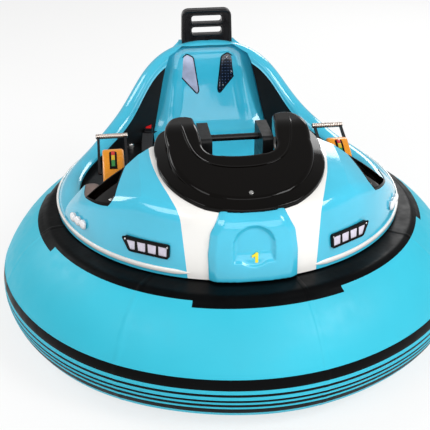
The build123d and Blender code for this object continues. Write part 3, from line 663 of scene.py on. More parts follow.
def softened(name: str, node: str, finish: Finish, voxel: float, rounds: int,
             pressed: Callable[[np.ndarray], np.ndarray]) -> bpy.types.Object:
    """Moulded version of a CAD node: a merged copy, remeshed evenly and relaxed so that its edges round off.

    Args:
        name: the new piece's name.
        node: CAD node that it stands for.
        finish: its material.
        voxel: size of the new mesh's faces in millimetres.
        rounds: how often each point moves half way to the middle of its neighbours.
        pressed: gives how far along +Y each point (n, 3) is pressed in, in metres.
    Returns:
        The new object.
    """
    work = bmesh.new()
    work.from_mesh(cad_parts[node].data)
    bmesh.ops.remove_doubles(work, verts=work.verts, dist=1e-5)
    rough = bpy.data.meshes.new(name + "_rough")
    work.to_mesh(rough)
    work.free()
    draft = bpy.data.objects.new(name + "_rough", rough)
    bpy.context.scene.collection.objects.link(draft)
    remesh = draft.modifiers.new("even_faces", "REMESH")
    remesh.mode = "VOXEL"
    remesh.voxel_size = voxel * MM
    relax = draft.modifiers.new("relaxed", "SMOOTH")
    relax.factor = 0.5
    relax.iterations = rounds
    bpy.context.view_layer.update()
    mesh = bpy.data.meshes.new_from_object(draft.evaluated_get(bpy.context.evaluated_depsgraph_get()))
    bpy.data.objects.remove(draft)
    mesh.name = name
    points = np.zeros(len(mesh.vertices) * 3, np.float32)
    mesh.vertices.foreach_get("co", points)
    points = points.reshape(-1, 3)
    points[:, 1] += pressed(points)
    mesh.vertices.foreach_set("co", points.ravel())
    mesh.materials.clear()
    mesh.materials.append(finish.build())
    mesh.shade_smooth()
    thing = bpy.data.objects.new(name, mesh)
    bpy.context.scene.collection.objects.link(thing)
    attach(thing, CAR)
    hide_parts(node)
    LOG.info("%s: %d faces for %s", name, len(mesh.polygons), node)
    return thing


# ---------------------------------------------------------------- inflated ring
@dataclass
class BumperRing:
    """Inflated ring of welded PVC-coated fabric, with its bands; sizes in millimetres."""

    radius: float = 875.0
    inner_top: tuple[float, float] = (335.0, 405.0)
    crest: tuple[float, float] = (185.0, 405.0)
    slope: tuple[float, float] = (82.0, 326.0)
    shoulder: tuple[float, float] = (11.0, 222.0)
    side: tuple[float, float] = (0.0, 145.0)
    heel: tuple[float, float] = (25.0, 59.0)
    belly: tuple[float, float] = (175.0, 32.0)
    inner_foot: tuple[float, float] = (335.0, 80.0)
    inner_wall: tuple[float, float] = (363.0, 235.0)
    band_inward: float = 166.0
    tab_inward: float = 146.0
    tabs: tuple[tuple[float, float], ...] = ((-17.0, 23.0), (-104.0, -67.0), (72.0, 109.0))
    side_bands: tuple[tuple[float, float], ...] = (
        (213.0, 174.0), (162.0, 150.0), (139.0, 129.0), (121.0, 106.0), (99.0, 77.0))
    seams: tuple[float, ...] = (13.0, 58.0, 103.0, 148.0, 193.0, 238.0, 283.0, 328.0)
    band_proud: float = 1.4
    row_step: float = 9.0
    columns: int = 540
    weld_half: float = 9.0
    weld_proud: float = 0.6
    weld_edge: float = 1.6
    band_pucker: tuple[float, float] = (0.8, 42.0)
    seam_pucker: tuple[float, float] = (0.6, 46.0)
    lobe_proud: float = 1.6
    flat_from: float = 330.0
    valve_at: tuple[float, float] = (42.0, 285.0)

    @staticmethod
    def arc(a: tuple[float, float], b: tuple[float, float], c: tuple[float, float],
            count: int = 60) -> np.ndarray:
        """Points on the circle through three points, from the first to the last.

        The centre solves |p - a| = |p - b| = |p - c|; the angle then runs evenly from a past b to c.

        Args:
            a: first point.
            b: point on the way.
            c: last point.
            count: number of points.
        Returns:
            Array (count, 2).
        """
        pa, pb, pc = (np.array(p, float) for p in (a, b, c))
        left = 2 * np.array([pb - pa, pc - pa])
        centre = np.linalg.solve(left, np.array([pb @ pb - pa @ pa, pc @ pc - pa @ pa]))
        angles = np.unwrap([math.atan2(*(p - centre)[::-1]) for p in (pa, pb, pc)])
        t = np.linspace(angles[0], angles[2], count)
        return centre + np.linalg.norm(pa - centre) * np.column_stack([np.cos(t), np.sin(t)])

    def section(self) -> tuple[np.ndarray, np.ndarray]:
        """The ring's section, with a row on each edge of a band.

        Returns:
            Points (n, 2) as (inward, z), and the distance along the section to each of them.
        """
        upper = self.arc(self.crest, self.slope, self.shoulder)
        outer = self.arc(self.shoulder, self.side, self.heel)
        under = self.arc(self.heel, self.belly, self.inner_foot)
        line = np.vstack([[self.inner_top], upper, outer[1:], under[1:], [self.inner_wall]])
        run = np.concatenate([[0], np.cumsum(np.linalg.norm(np.diff(line, axis=0), axis=1))])
        top = slice(0, len(upper) + 1)
        keys = [float(np.interp(-limit, -line[top, 0], run[top]))
                for limit in (self.band_inward, self.tab_inward)]
        first = len(upper)
        down = slice(first, first + len(outer))
        for pair in self.side_bands:
            keys += [float(np.interp(-z, -line[down, 1], run[down])) for z in pair]
        even = np.arange(0, run[-1], self.row_step)
        gap = np.abs(even[:, None] - np.array(keys)[None, :]).min(axis=1)
        edges = np.array([k + d for k in keys for d in (-0.5, 0.5)])
        at = np.sort(np.concatenate([even[gap > 3.0], edges, [run[-1]]]))
        points = np.column_stack([np.interp(at, run, line[:, i]) for i in range(2)])
        return points, at

    def azimuths(self) -> np.ndarray:
        """Columns round the ring in degrees from the front, with extra ones at seams and tab ends."""
        even = np.linspace(-180, 180, self.columns, endpoint=False)
        width = math.degrees(self.weld_half / self.radius)
        ends = np.array([edge for tab in self.tabs for edge in tab])
        keys = np.concatenate([ends, ((np.array(self.seams) + 180) % 360) - 180])
        extra = (keys[:, None] + width * np.array([-1.15, -0.95, 0.0, 0.95, 1.15])).ravel()
        gap = np.abs(even[:, None] - extra[None, :]).min(axis=1)
        return np.sort(np.concatenate([even[gap > 0.15], extra]))

    def build(self) -> bpy.types.Object:
        """Make the ring: its section, spun, and swelled along its normal by welds, bands and puckers.

        The swell is the sum of a flat-topped ridge at each seam, a step on each black band round the
        outside, short waves that fade as exp(-(d / reach)^2) away from the top band's edge and from the
        seams, and one long wave in eight lobes round the outside. It ends at the inner wall.

        Returns:
            The ring.
        """
        points, run = self.section()
        azimuth = self.azimuths()
        inward, z = points[:, 0], points[:, 1]
        ahead = np.gradient(points, run, axis=0)
        normal = np.column_stack([ahead[:, 1], -ahead[:, 0]])
        normal /= np.linalg.norm(normal, axis=1, keepdims=True)
        middle_in, middle_z = (inward[:-1] + inward[1:]) / 2, (z[:-1] + z[1:]) / 2
        top = (middle_z > 300) | ((middle_in > 300) & (middle_z > 200))
        strip = top & (middle_in > self.band_inward)
        outside = middle_in < 100
        for high, low in self.side_bands:
            strip |= outside & (middle_z < high) & (middle_z > low)
        tab_row = top & (middle_in <= self.band_inward) & (middle_in > self.tab_inward)
        middle_az = (azimuth + np.append(azimuth[1:], azimuth[0] + 360)) / 2
        in_tab = np.zeros(len(azimuth), bool)
        for low, high in self.tabs:
            in_tab |= (middle_az > low) & (middle_az < high)
        black = strip[:, None] | (tab_row[:, None] & in_tab[None, :])

        off = np.abs((azimuth[:, None] - np.array(self.seams)[None, :] + 180) % 360 - 180).min(axis=1)
        off_mm = np.radians(off) * self.radius
        weld = self.weld_proud * np.clip((self.weld_half * 1.1 - off_mm) / self.weld_edge, 0, 1)
        raised = np.zeros(len(points))
        raised[:-1] = np.where(strip & outside, self.band_proud, 0.0)
        near_seam = np.exp(-(off_mm / self.seam_pucker[1]) ** 2)
        band_run = np.interp(-self.band_inward, -inward[inward > 100][:60], run[inward > 100][:60])
        near_band = np.exp(-((run - band_run) / self.band_pucker[1]) ** 2)
        wave = np.sin(np.radians(azimuth) * 118 + 1.3 * np.sin(np.radians(azimuth) * 17))
        along = np.sin(run / 31.0) * np.sin(run / 13.0 + 1.0)
        lobes = np.sin(np.radians(azimuth) * 8 + 0.7)
        swell = (weld[None, :] + raised[:, None]
                 + self.band_pucker[0] * near_band[:, None] * wave[None, :]
                 + self.seam_pucker[0] * near_seam[None, :] * along[:, None]
                 + self.lobe_proud * lobes[None, :] * (inward[:, None] < 160))
        swell = swell * (inward[:, None] < self.flat_from)
        radial = (self.radius - (inward[:, None] + swell * normal[:, 0:1]))
        height = z[:, None] + swell * normal[:, 1:2]
        a = np.radians(azimuth)[None, :]
        grid = np.stack([radial * np.sin(a), -radial * np.cos(a), height], axis=-1) * MM
        rows, cols = grid.shape[:2]
        faces = lattice(rows, cols, wrap_rows=True, wrap_cols=True)
        chosen = np.vstack([black, np.ones((1, cols), bool)]).astype(np.int32).ravel()
        uv = np.stack([np.broadcast_to(np.radians(azimuth) * self.radius, (rows, cols)),
                       np.broadcast_to(run[:, None], (rows, cols))], axis=-1).reshape(-1, 2) * MM
        ring = piece("bumper_ring", Shape(grid.reshape(-1, 3), faces.tolist()), (PVC_CYAN, PVC_BLACK),
                     chosen=chosen, uv=uv)
        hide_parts("bumper_tube")
        self.valve()
        return ring

    def valve(self) -> bpy.types.Object:
        """Inflation valve with its ribbed cap, low on the back of the ring."""
        profile = ((0, -6), (24, -6), (24, 1.5), (21, 3), (15, 3.2), (14.5, 7), (15.6, 8), (15.6, 10),
                   (14.5, 11), (15.6, 12), (15.6, 14), (13, 15.5), (0, 16))
        inward, z = self.valve_at
        origin = (0.0, (self.radius - inward) * MM, z * MM)
        shape = fastener(profile, origin, (0.0, 0.86, 0.5), segments=36)
        return piece("inflation_valve", shape, SATIN_BLACK)


# ---------------------------------------------------------------- body trim
@dataclass
class BodyTrim:
    """Strips, beads and fasteners on the moulded body; millimetres about the body's centre."""

    rim_half_x: float = 656.0
    rim_front_y: float = -668.0
    rim_back_y: float = 670.0
    top_half_x: float = 598.0
    top_front_y: float = -606.0
    top_back_y: float = 712.0
    rim_z: float = 410.0
    wall_top_z: float = 860.0
    stripe_z: float = 428.0
    stripe_half: float = 9.0
    stripe_end_x: float = 205.0
    stripe_taper: float = 45.0
    hood_rise: float = 0.375
    hood_foot: tuple[float, float] = (-622.0, 648.0)
    hood_crest: tuple[float, float] = (-225.0, 786.0)
    hood_bend: float = 160.0
    nose_half: tuple[tuple[float, float], ...] = (
        (400.0, 146.0), (500.0, 147.0), (570.0, 138.0), (620.0, 112.0), (660.0, 90.0))
    nose_round: tuple[float, float] = (9.0, 26.0)
    recess: tuple[float, float, float] = (68.0, 600.0, 472.0)
    recess_dish: tuple[float, float] = (6.0, 16.0)
    recess_foot: float = 0.4
    bead_half: tuple[float, float] = (4.2, 2.0)
    rivet: tuple[float, float, float] = (0.004, -0.502, 0.6725)
    scoop_screws: tuple[tuple[float, float, float], ...] = ((0.447, -0.343, 0.598), (0.482, -0.315, 0.568))
    back_screws: tuple[float, ...] = (150.0, 165.0, 195.0, 210.0)
    back_screw_z: float = 452.0
    marker_azimuths: tuple[float, ...] = (57.2, 60.2, 63.2)
    marker_seat: tuple[float, float] = (654.0, 484.0)
    marker_size: float = 1.32
    crease: tuple[tuple[float, float], ...] = (
        (196.0, -196.0), (189.0, -262.0), (178.0, -330.0), (156.0, -390.0), (116.0, -428.0), (60.0, -446.0),
        (0.0, -450.0))

    def wall(self, z: float) -> tuple[float, float, float]:
        """Half width, middle and half length of the body wall at a height."""
        t = (z - self.rim_z) / (self.wall_top_z - self.rim_z)
        half_x = self.rim_half_x + (self.top_half_x - self.rim_half_x) * t
        front = self.rim_front_y + (self.top_front_y - self.rim_front_y) * t
        back = self.rim_back_y + (self.top_back_y - self.rim_back_y) * t
        return half_x, (front + back) / 2, (back - front) / 2

    def nose_pressed(self, points: np.ndarray) -> np.ndarray:
        """How far the nose panel is pressed in: rounded down at its edges and dished in its horseshoe.

        With s(t) = t^2 (3 - 2 t) held between 0 and 1, it is depth (1 - s(e / reach)) for the distance e
        from the panel's edge, by nose_round, and depth s(d / reach) for the distance d inside the
        horseshoe, by recess_dish. At the horseshoe's foot, d is recess_foot times the height over it.

        Args:
            points: points (n, 3) in metres.
        Returns:
            Distances (n,) in metres.
        """
        x, z = np.abs(points[:, 0]) / MM, points[:, 2] / MM
        heights, halves = np.array(self.nose_half).T
        edge = np.minimum(np.interp(z, heights, halves) - x, 1e3)
        radius, top, low = self.recess
        round_part = radius - np.hypot(x, np.maximum(z - (top - radius), 0))
        inside = np.minimum(np.where(z > top - radius, round_part, radius - x), (z - low) * self.recess_foot)
        round_depth, round_reach = self.nose_round
        dish_depth, dish_reach = self.recess_dish

        def soft(t: np.ndarray) -> np.ndarray:
            """Smooth step from 0 to 1."""
            t = np.clip(t, 0, 1)
            return t * t * (3 - 2 * t)

        return (round_depth * (1 - soft(edge / round_reach)) + dish_depth * soft(inside / dish_reach)) * MM

    def hood_height(self, y: np.ndarray) -> np.ndarray:
        """Height of the hood's top: a slope, an arc of hood_bend, and a flat."""
        foot_y, foot_z = self.hood_foot
        flat_y, flat_z = self.hood_crest
        slope = foot_z + self.hood_rise * (y - foot_y)
        reach = np.clip(flat_y - y, 0, self.hood_bend * 0.999)
        arc = flat_z - self.hood_bend + np.sqrt(self.hood_bend ** 2 - reach ** 2)
        bend_start = flat_y - self.hood_bend * math.sin(math.atan(self.hood_rise))
        return np.where(y < bend_start, slope, arc)

    def stripe(self, label: str, side: float) -> bpy.types.Object:
        """White half-round strip round the rim, tapered to a point at the nose.

        Its line is the body's ellipse at stripe_z; its section is a superellipse scaled to nothing at
        the front end.

        Args:
            label: left or right.
            side: 1 for +X, -1 for -X.
        Returns:
            The strip.
        """
        half_x, middle, half_y = self.wall(self.stripe_z)
        start = math.asin(self.stripe_end_x / half_x)
        t = np.linspace(start, math.pi - 0.002, 220)
        path = np.column_stack([np.sin(t) * half_x, -np.cos(t) * half_y + middle + BODY_BACK,
                                np.full_like(t, self.stripe_z)]) * MM
        taper = np.clip((path[:, 0] / MM - self.stripe_end_x) / self.stripe_taper, 0.04, 1) ** 0.6
        taper = np.where(path[:, 1] > 0, 1.0, taper)
        shape = swept(path, disc_section(5.0, self.stripe_half, 14, 2.6), (0, 0, 1), scale=taper)
        strip = piece(f"rim_strip_{label}", shape.mirrored(side), GEL_WHITE)
        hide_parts(f"rim_stripe_{label}")
        return strip

    def hood_bead(self) -> bpy.types.Object:
        """Raised welt on the hood, following its U: a low half-round bead on the hood's surface."""
        half = np.array(self.crease)
        line = filled(chaikin(np.vstack([half, (half * np.array([-1, 1]))[::-1][1:]]), 3), 6.0, closed=False)
        path = np.column_stack([line[:, 0], line[:, 1] + BODY_BACK, self.hood_height(line[:, 1]) + 0.2]) * MM
        ends = np.clip(np.minimum(np.arange(len(path)), np.arange(len(path))[::-1]) / 8.0, 0.05, 1) ** 0.5
        shape = swept(path, disc_section(*self.bead_half, 10), (0, 0, 1), scale=ends)
        return piece("hood_welt", shape, GLOSS_BLACK)

    def fasteners(self) -> bpy.types.Object:
        """Rivet on the hood's front, bright screws in the scoops and a row of screws low on the back."""
        parts = [fastener(BOLT_CAP, self.rivet, (0, -0.42, 0.9), 0.62)]
        for side in (1.0, -1.0):
            for x, y, z in self.scoop_screws:
                parts.append(fastener(SCREW_HEAD, (side * x, y, z), (side * 0.2, -0.3, 0.9), 1.1))
        z = self.back_screw_z
        half_x, middle, half_y = self.wall(z)
        for angle in np.radians(self.back_screws):
            out = (math.sin(angle), -math.cos(angle), 0.0)
            place = body_point(math.sin(angle) * half_x, -math.cos(angle) * half_y + middle, z)
            parts.append(fastener(SCREW_HEAD, place, out, 0.95))
        return piece("body_fasteners", joined(parts), BRIGHT_STEEL)

    def marker_lenses(self, label: str, side: float) -> bpy.types.Object:
        """Domed lenses on the three studs of a side marker."""
        profile = ((0, -1), (13.4, -1), (13.6, 0.6), (12.8, 2.6), (10.6, 4.6), (7.4, 6.0), (3.8, 6.8),
                   (0, 7.0))
        parts = []
        radius, z = self.marker_seat
        for azimuth in np.radians(self.marker_azimuths):
            out = (math.sin(azimuth), -math.cos(azimuth), 0.0)
            seat = body_point(out[0] * radius, out[1] * radius, z)
            parts.append(fastener(profile, seat, out, self.marker_size, 32))
        return piece(f"marker_lenses_{label}", joined(parts).mirrored(side), MARKER_LENS)

    def build(self) -> None:
        """Make all of the trim."""
        softened("nose_moulding", "nose_panel", GEL_BLUE, voxel=3.0, rounds=16,
                 pressed=self.nose_pressed)
        for label, side in SIDES:
            self.stripe(label, side)
            self.marker_lenses(label, side)
        self.hood_bead()
        self.fasteners()


@dataclass
class Headlamp:
    """Lens units and rim of one headlamp, in the lamp's own frame; millimetres."""

    centre: tuple[float, float, float] = (343.5, -558.0, 494.0)
    azimuth: float = 31.0
    lean: float = 0.14
    length: float = 176.0
    height: float = 50.0
    slant: float = 28.0
    face_z: float = 3.0
    pitch: float = 39.0
    cell: tuple[float, float] = (33.0, 31.0)
    cell_slants: tuple[float, ...] = (3.0, 3.0, 5.0, 15.0)
    cell_shift: float = -5.0
    flutes: int = 5
    crown: float = 1.8
    flute_depth: float = 0.3
    screws: tuple[tuple[float, float], ...] = ((-82.0, 16.0), (74.0, 16.0))

    def frame(self) -> np.ndarray:
        """The lamp's local frame."""
        a = math.radians(self.azimuth)
        along, out = (math.cos(a), math.sin(a), 0), (math.sin(a), -math.cos(a), self.lean)
        return frame_at(body_point(*self.centre), along, out)

    def lens(self, middle_x: float, slant: float) -> Shape:
        """One fluted lens: a pillow over a slanted four-sided cell, with ribs across it.

        With u and v from -1 to 1, the front is 1 + crown (1 - u^4)(1 - v^4)
        + flute_depth cos(pi flutes u)(1 - v^6).

        Args:
            middle_x: the cell's middle along the lamp.
            slant: how far its lower outer corner is drawn in.
        Returns:
            The closed lens.
        """
        length, height = self.cell
        u, v = np.meshgrid(np.linspace(-1, 1, 33), np.linspace(-1, 1, 17))
        right = length / 2 - slant * (1 - v) / 2
        x = -length / 2 + (u + 1) / 2 * (right + length / 2)
        y = v * height / 2 - 2
        flutes = self.flute_depth * np.cos(np.pi * self.flutes * u) * (1 - v ** 6)
        z = 1 + self.crown * (1 - u ** 4) * (1 - v ** 4) + flutes
        front = np.stack([x + middle_x, y, z], axis=-1) * MM
        back = np.stack([x + middle_x, y, np.full_like(x, 0.4)], axis=-1) * MM
        return slab(front, back)

    def build(self, label: str, side: float) -> None:
        """Make the lenses, the raised rim and the two end screws.

        Args:
            label: left or right.
            side: 1 for +X, -1 for -X.
        """
        place = self.frame()
        middle = (len(self.cell_slants) - 1) / 2
        lenses = joined([self.lens((i - middle) * self.pitch + self.cell_shift, slant).placed(place)
                         for i, slant in enumerate(self.cell_slants)])
        piece(f"headlamp_lenses_{label}", lenses.mirrored(side), LAMP_LENS)
        half, rise = self.length / 2 - 2, self.height / 2 - 2
        corners = [(-half, -rise), (half - self.slant, -rise), (half, rise), (-half, rise)]
        loop = filled(rounded_loop(corners, 9), 3.0)
        path = np.column_stack([loop, np.full(len(loop), self.face_z)]) * MM
        rim = swept(path, disc_section(2.6, 1.9, 10), (0, 0, 1), closed=True).placed(place)
        piece(f"headlamp_rim_{label}", rim.mirrored(side), GLOSS_BLACK)
        screws = []
        for x, y in self.screws:
            origin = place[:3, :3] @ (np.array([x, y, self.face_z]) * MM) + place[:3, 3]
            screws.append(fastener(SCREW_HEAD, origin, place[:3, 2], 0.62))
        piece(f"headlamp_screws_{label}", joined(screws).mirrored(side), BRIGHT_STEEL)


@dataclass
class NoseFigure:
    """Plain yellow figure 1 on the nose panel; millimetres."""

    height: float = 44.0
    middle: tuple[float, float, float] = (0.0035, -0.6048, 0.4865)
    lean: float = 0.10

    def build(self) -> bpy.types.Object:
        """Make the figure: one outline in shares of its height, cut from thin vinyl."""
        shares = ((-0.02, -0.5), (0.20, -0.5), (0.20, 0.5), (0.05, 0.5), (-0.08, 0.37), (-0.26, 0.29),
                  (-0.26, 0.11), (-0.10, 0.17), (-0.02, 0.22))
        outline = [(x * self.height, y * self.height) for x, y in shares]
        place = frame_at(self.middle, (1, 0, 0), (0, -1, self.lean))
        return piece("nose_figure", plate(outline, -2.0, 1.2).placed(place), FIGURE_YELLOW, bevel=0.4)


# ---------------------------------------------------------------- seat, headrest, belt
@dataclass
class SeatTrim:
    """Moulded face of the seat, the insets in it and the headrest's rims; millimetres about the body."""

    line: tuple[tuple[float, float], ...] = (
        (702.0, 818.0), (682.0, 817.0), (655.0, 784.0), (642.0, 700.0), (632.0, 630.0), (599.0, 518.0),
        (566.0, 452.0), (518.0, 425.0), (400.0, 415.0), (300.0, 413.0), (200.0, 418.0), (116.0, 424.0),
        (92.0, 400.0), (100.0, 340.0))
    half: tuple[tuple[float, float], ...] = (
        (220.0, 262.0), (440.0, 254.0), (540.0, 232.0), (660.0, 206.0), (740.0, 188.0), (780.0, 174.0),
        (818.0, 122.0))
    bolster: float = 13.0
    proud: float = 1.5
    inset: tuple[tuple[float, float], ...] = (
        (62.0, 752.0), (90.0, 767.0), (120.0, 746.0), (130.0, 680.0), (50.0, 591.0), (42.0, 606.0))
    inset_lift: tuple[float, float] = (0.8, 2.2)
    inset_screws: tuple[tuple[float, float], ...] = ((86.0, 748.0), (106.0, 684.0), (66.0, 626.0))
    rest_front: float = 660.0
    rest_back: float = 694.0
    rest_outline: tuple[tuple[float, float], ...] = (
        (-105.0, 806.0), (105.0, 806.0), (101.0, 952.0), (-101.0, 952.0))
    slot_heights: tuple[float, float] = (866.0, 916.0)
    slot_half: tuple[float, float] = (70.0, 20.0)
    step: float = 8.0

    def spine(self) -> tuple[np.ndarray, np.ndarray]:
        """Side line of the face, with its corners cut three times over, and its outward normal.

        Returns:
            Points (n, 2) as (y, z), and unit normals (n, 2).
        """
        line = filled(chaikin(np.array(self.line), 3), self.step, closed=False)
        ahead = np.gradient(line, axis=0)
        normal = np.column_stack([ahead[:, 1], -ahead[:, 0]])
        return line, normal / np.linalg.norm(normal, axis=1, keepdims=True)

    def lift(self, u: np.ndarray, z: np.ndarray) -> np.ndarray:
        """How far the face stands over its line.

        It is proud (1 - |u|^8), and a soft ridge near each side: bolster sin(pi t^0.9)^1.6, with t
        going from 0 at |u| = 0.52 to 1 at the edge. The ridge fades out at the seat's top and is less
        than half as high over the cushion.

        Args:
            u: place across, -1 to 1.
            z: height.
        Returns:
            The lift in millimetres.
        """
        t = np.clip((np.abs(u) - 0.52) / 0.48, 0, 1)
        ridge = np.sin(np.pi * t ** 0.9) ** 1.6
        high = np.clip((800 - z) / 90, 0, 1)
        low = 0.45 + 0.55 * np.clip((z - 420) / 120, 0, 1)
        return self.proud * (1 - np.abs(u) ** 8) + self.bolster * ridge * high * low

    def face(self) -> bpy.types.Object:
        """Skin of the seat: the side line carried across, and lifted at its sides."""
        line, normal = self.spine()
        heights, halves = np.array(self.half).T
        half = np.interp(line[:, 1], heights, halves)
        u = np.sin(np.linspace(-np.pi / 2, np.pi / 2, 61))
        z = line[:, 1:2]
        lift = self.lift(u[None, :], np.broadcast_to(z, (len(line), len(u))))

        def at(height: np.ndarray, squeeze: float) -> np.ndarray:
            """Grid at a height over the line."""
            y = line[:, 0:1] + normal[:, 0:1] * height + BODY_BACK
            x = half[:, None] * u[None, :] * squeeze
            return np.stack([np.broadcast_to(x, y.shape), y, z + normal[:, 1:2] * height], axis=-1) * MM

        shape = slab(at(lift, 1.0), at(np.full_like(lift, -5.0), 0.99))
        return piece("seat_face", shape, GEL_BLUE)

    def inset_place(self, x: np.ndarray, z: np.ndarray, lift: float | np.ndarray) -> np.ndarray:
        """Points on the seat's face, lifted off it towards the driver."""
        line, _ = self.spine()
        back = line[:, 1] > 430
        y = np.interp(-z, -line[back, 1], line[back, 0])
        return np.stack([x, y - self.proud - lift + BODY_BACK, z], axis=-1) * MM

    def insets(self) -> None:
        """Pillow-shaped insets, each with a black bead round it, and screws in the smoked one.

        An inset is its outline drawn in to its middle, lifted by a + b (1 - r^4)^(1/2), by inset_lift.
        """
        loop = filled(rounded_loop(self.inset, 9, 6), 4.0)
        middle = loop.mean(axis=0)
        r = np.linspace(0, 1, 12)[:, None, None]
        flat = middle + (loop[None] - middle) * r
        edge, crown = self.inset_lift
        lift = edge + crown * np.sqrt(1 - r[..., 0] ** 4) * np.ones(len(loop))
        front = self.inset_place(flat[..., 0], flat[..., 1], lift)
        back = self.inset_place(flat[..., 0], flat[..., 1], -6.0)
        rows, cols = front.shape[:2]
        quads = lattice(rows, cols, wrap_cols=True)
        count = rows * cols
        rim = np.arange(cols) + (rows - 1) * cols
        strip = np.stack([rim, np.roll(rim, -1), np.roll(rim, -1) + count, rim + count], axis=-1)
        faces = np.concatenate([quads, quads[:, ::-1] + count, strip]).tolist()
        pillow = Shape(np.concatenate([front.reshape(-1, 3), back.reshape(-1, 3)]), faces)
        path = self.inset_place(loop[:, 0], loop[:, 1], 0.6)
        bead = swept(path, disc_section(2.6, 2.8, 10), (0, -1, 0), closed=True)
        for label, side in SIDES:
            finish = INSET_LEDS if label == "left" else INSET_LENS
            made = piece(f"inset_lens_{label}", pillow.mirrored(side), finish)
            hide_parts(f"back_inset_{label}")
            piece(f"inset_frame_{label}", bead.mirrored(side), GLOSS_BLACK)
        places = self.inset_place(*np.array(self.inset_screws).T, 2.4)
        screws = [fastener(SCREW_HEAD, place, (0, -1, 0.15), 0.6) for place in places]
        piece("inset_screws", joined(screws), BRIGHT_STEEL)

    def headrest_rims(self) -> bpy.types.Object:
        """Rounded raised rims round the headrest's outline and its two slots, front and back."""
        parts = []
        loops = [(rounded_loop(self.rest_outline, 26, 9), 6.0)]
        x, half = self.slot_half
        for z in self.slot_heights:
            slot = [(-x, z - half), (x, z - half), (x, z + half), (-x, z + half)]
            loops.append((rounded_loop(slot, 15, 7), 4.2))
        for flat, radius in loops:
            for y, up in ((self.rest_front, (0, -1, 0)), (self.rest_back, (0, 1, 0))):
                loop = filled(flat, 4.0)
                path = np.column_stack([loop[:, 0], np.full(len(loop), y + BODY_BACK), loop[:, 1]]) * MM
                parts.append(swept(path, disc_section(radius, radius * 0.75, 12), up, closed=True))
        return piece("headrest_rims", joined(parts), SATIN_BLACK)

    def build(self) -> None:
        """Make the seat's face, its insets and the headrest's rims."""
        self.face()
        self.insets()
        self.headrest_rims()


@dataclass
class SeatBelt:
    """Buckle on its webbing stalk, beside the seat on the driver's right; metres, its sections in mm."""

    route: tuple[tuple[float, float, float], ...] = (
        (-0.292, 0.470, 0.420), (-0.290, 0.500, 0.436), (-0.286, 0.535, 0.450), (-0.281, 0.570, 0.462))
    width: float = 46.0
    step: float = 0.006

    def build(self) -> None:
        """Make the webbing stalk, the buckle's shell and its red button."""
        line = filled(np.array(self.route), self.step, closed=False)
        section = disc_section(self.width / 2, 1.6, 20, 6.0)
        shape = swept(line, section, (0, 0, 1))
        run = np.arange(len(line)) * self.step
        uv = np.stack([np.broadcast_to(section[:, 0], (len(line), len(section))),
                       np.broadcast_to(run[:, None], (len(line), len(section)))], axis=-1).reshape(-1, 2)
        piece("belt_webbing", shape, WEBBING, uv=uv)
        end, ahead = line[-1], line[-1] - line[-3]
        place = frame_at(end, ahead, np.cross((1, 0, 0), ahead))
        shell = rounded_loop([(-4, -18), (48, -17), (48, 17), (-4, 18)], 7)
        piece("belt_buckle", plate(shell, -9, 9).placed(place), SATIN_BLACK, bevel=2.5)
        button = rounded_loop([(20, -12), (50, -12), (50, 12), (20, 12)], 4)
        piece("belt_button", plate(button, -7, 10.8).placed(place), BUCKLE_RED, bevel=1.2)


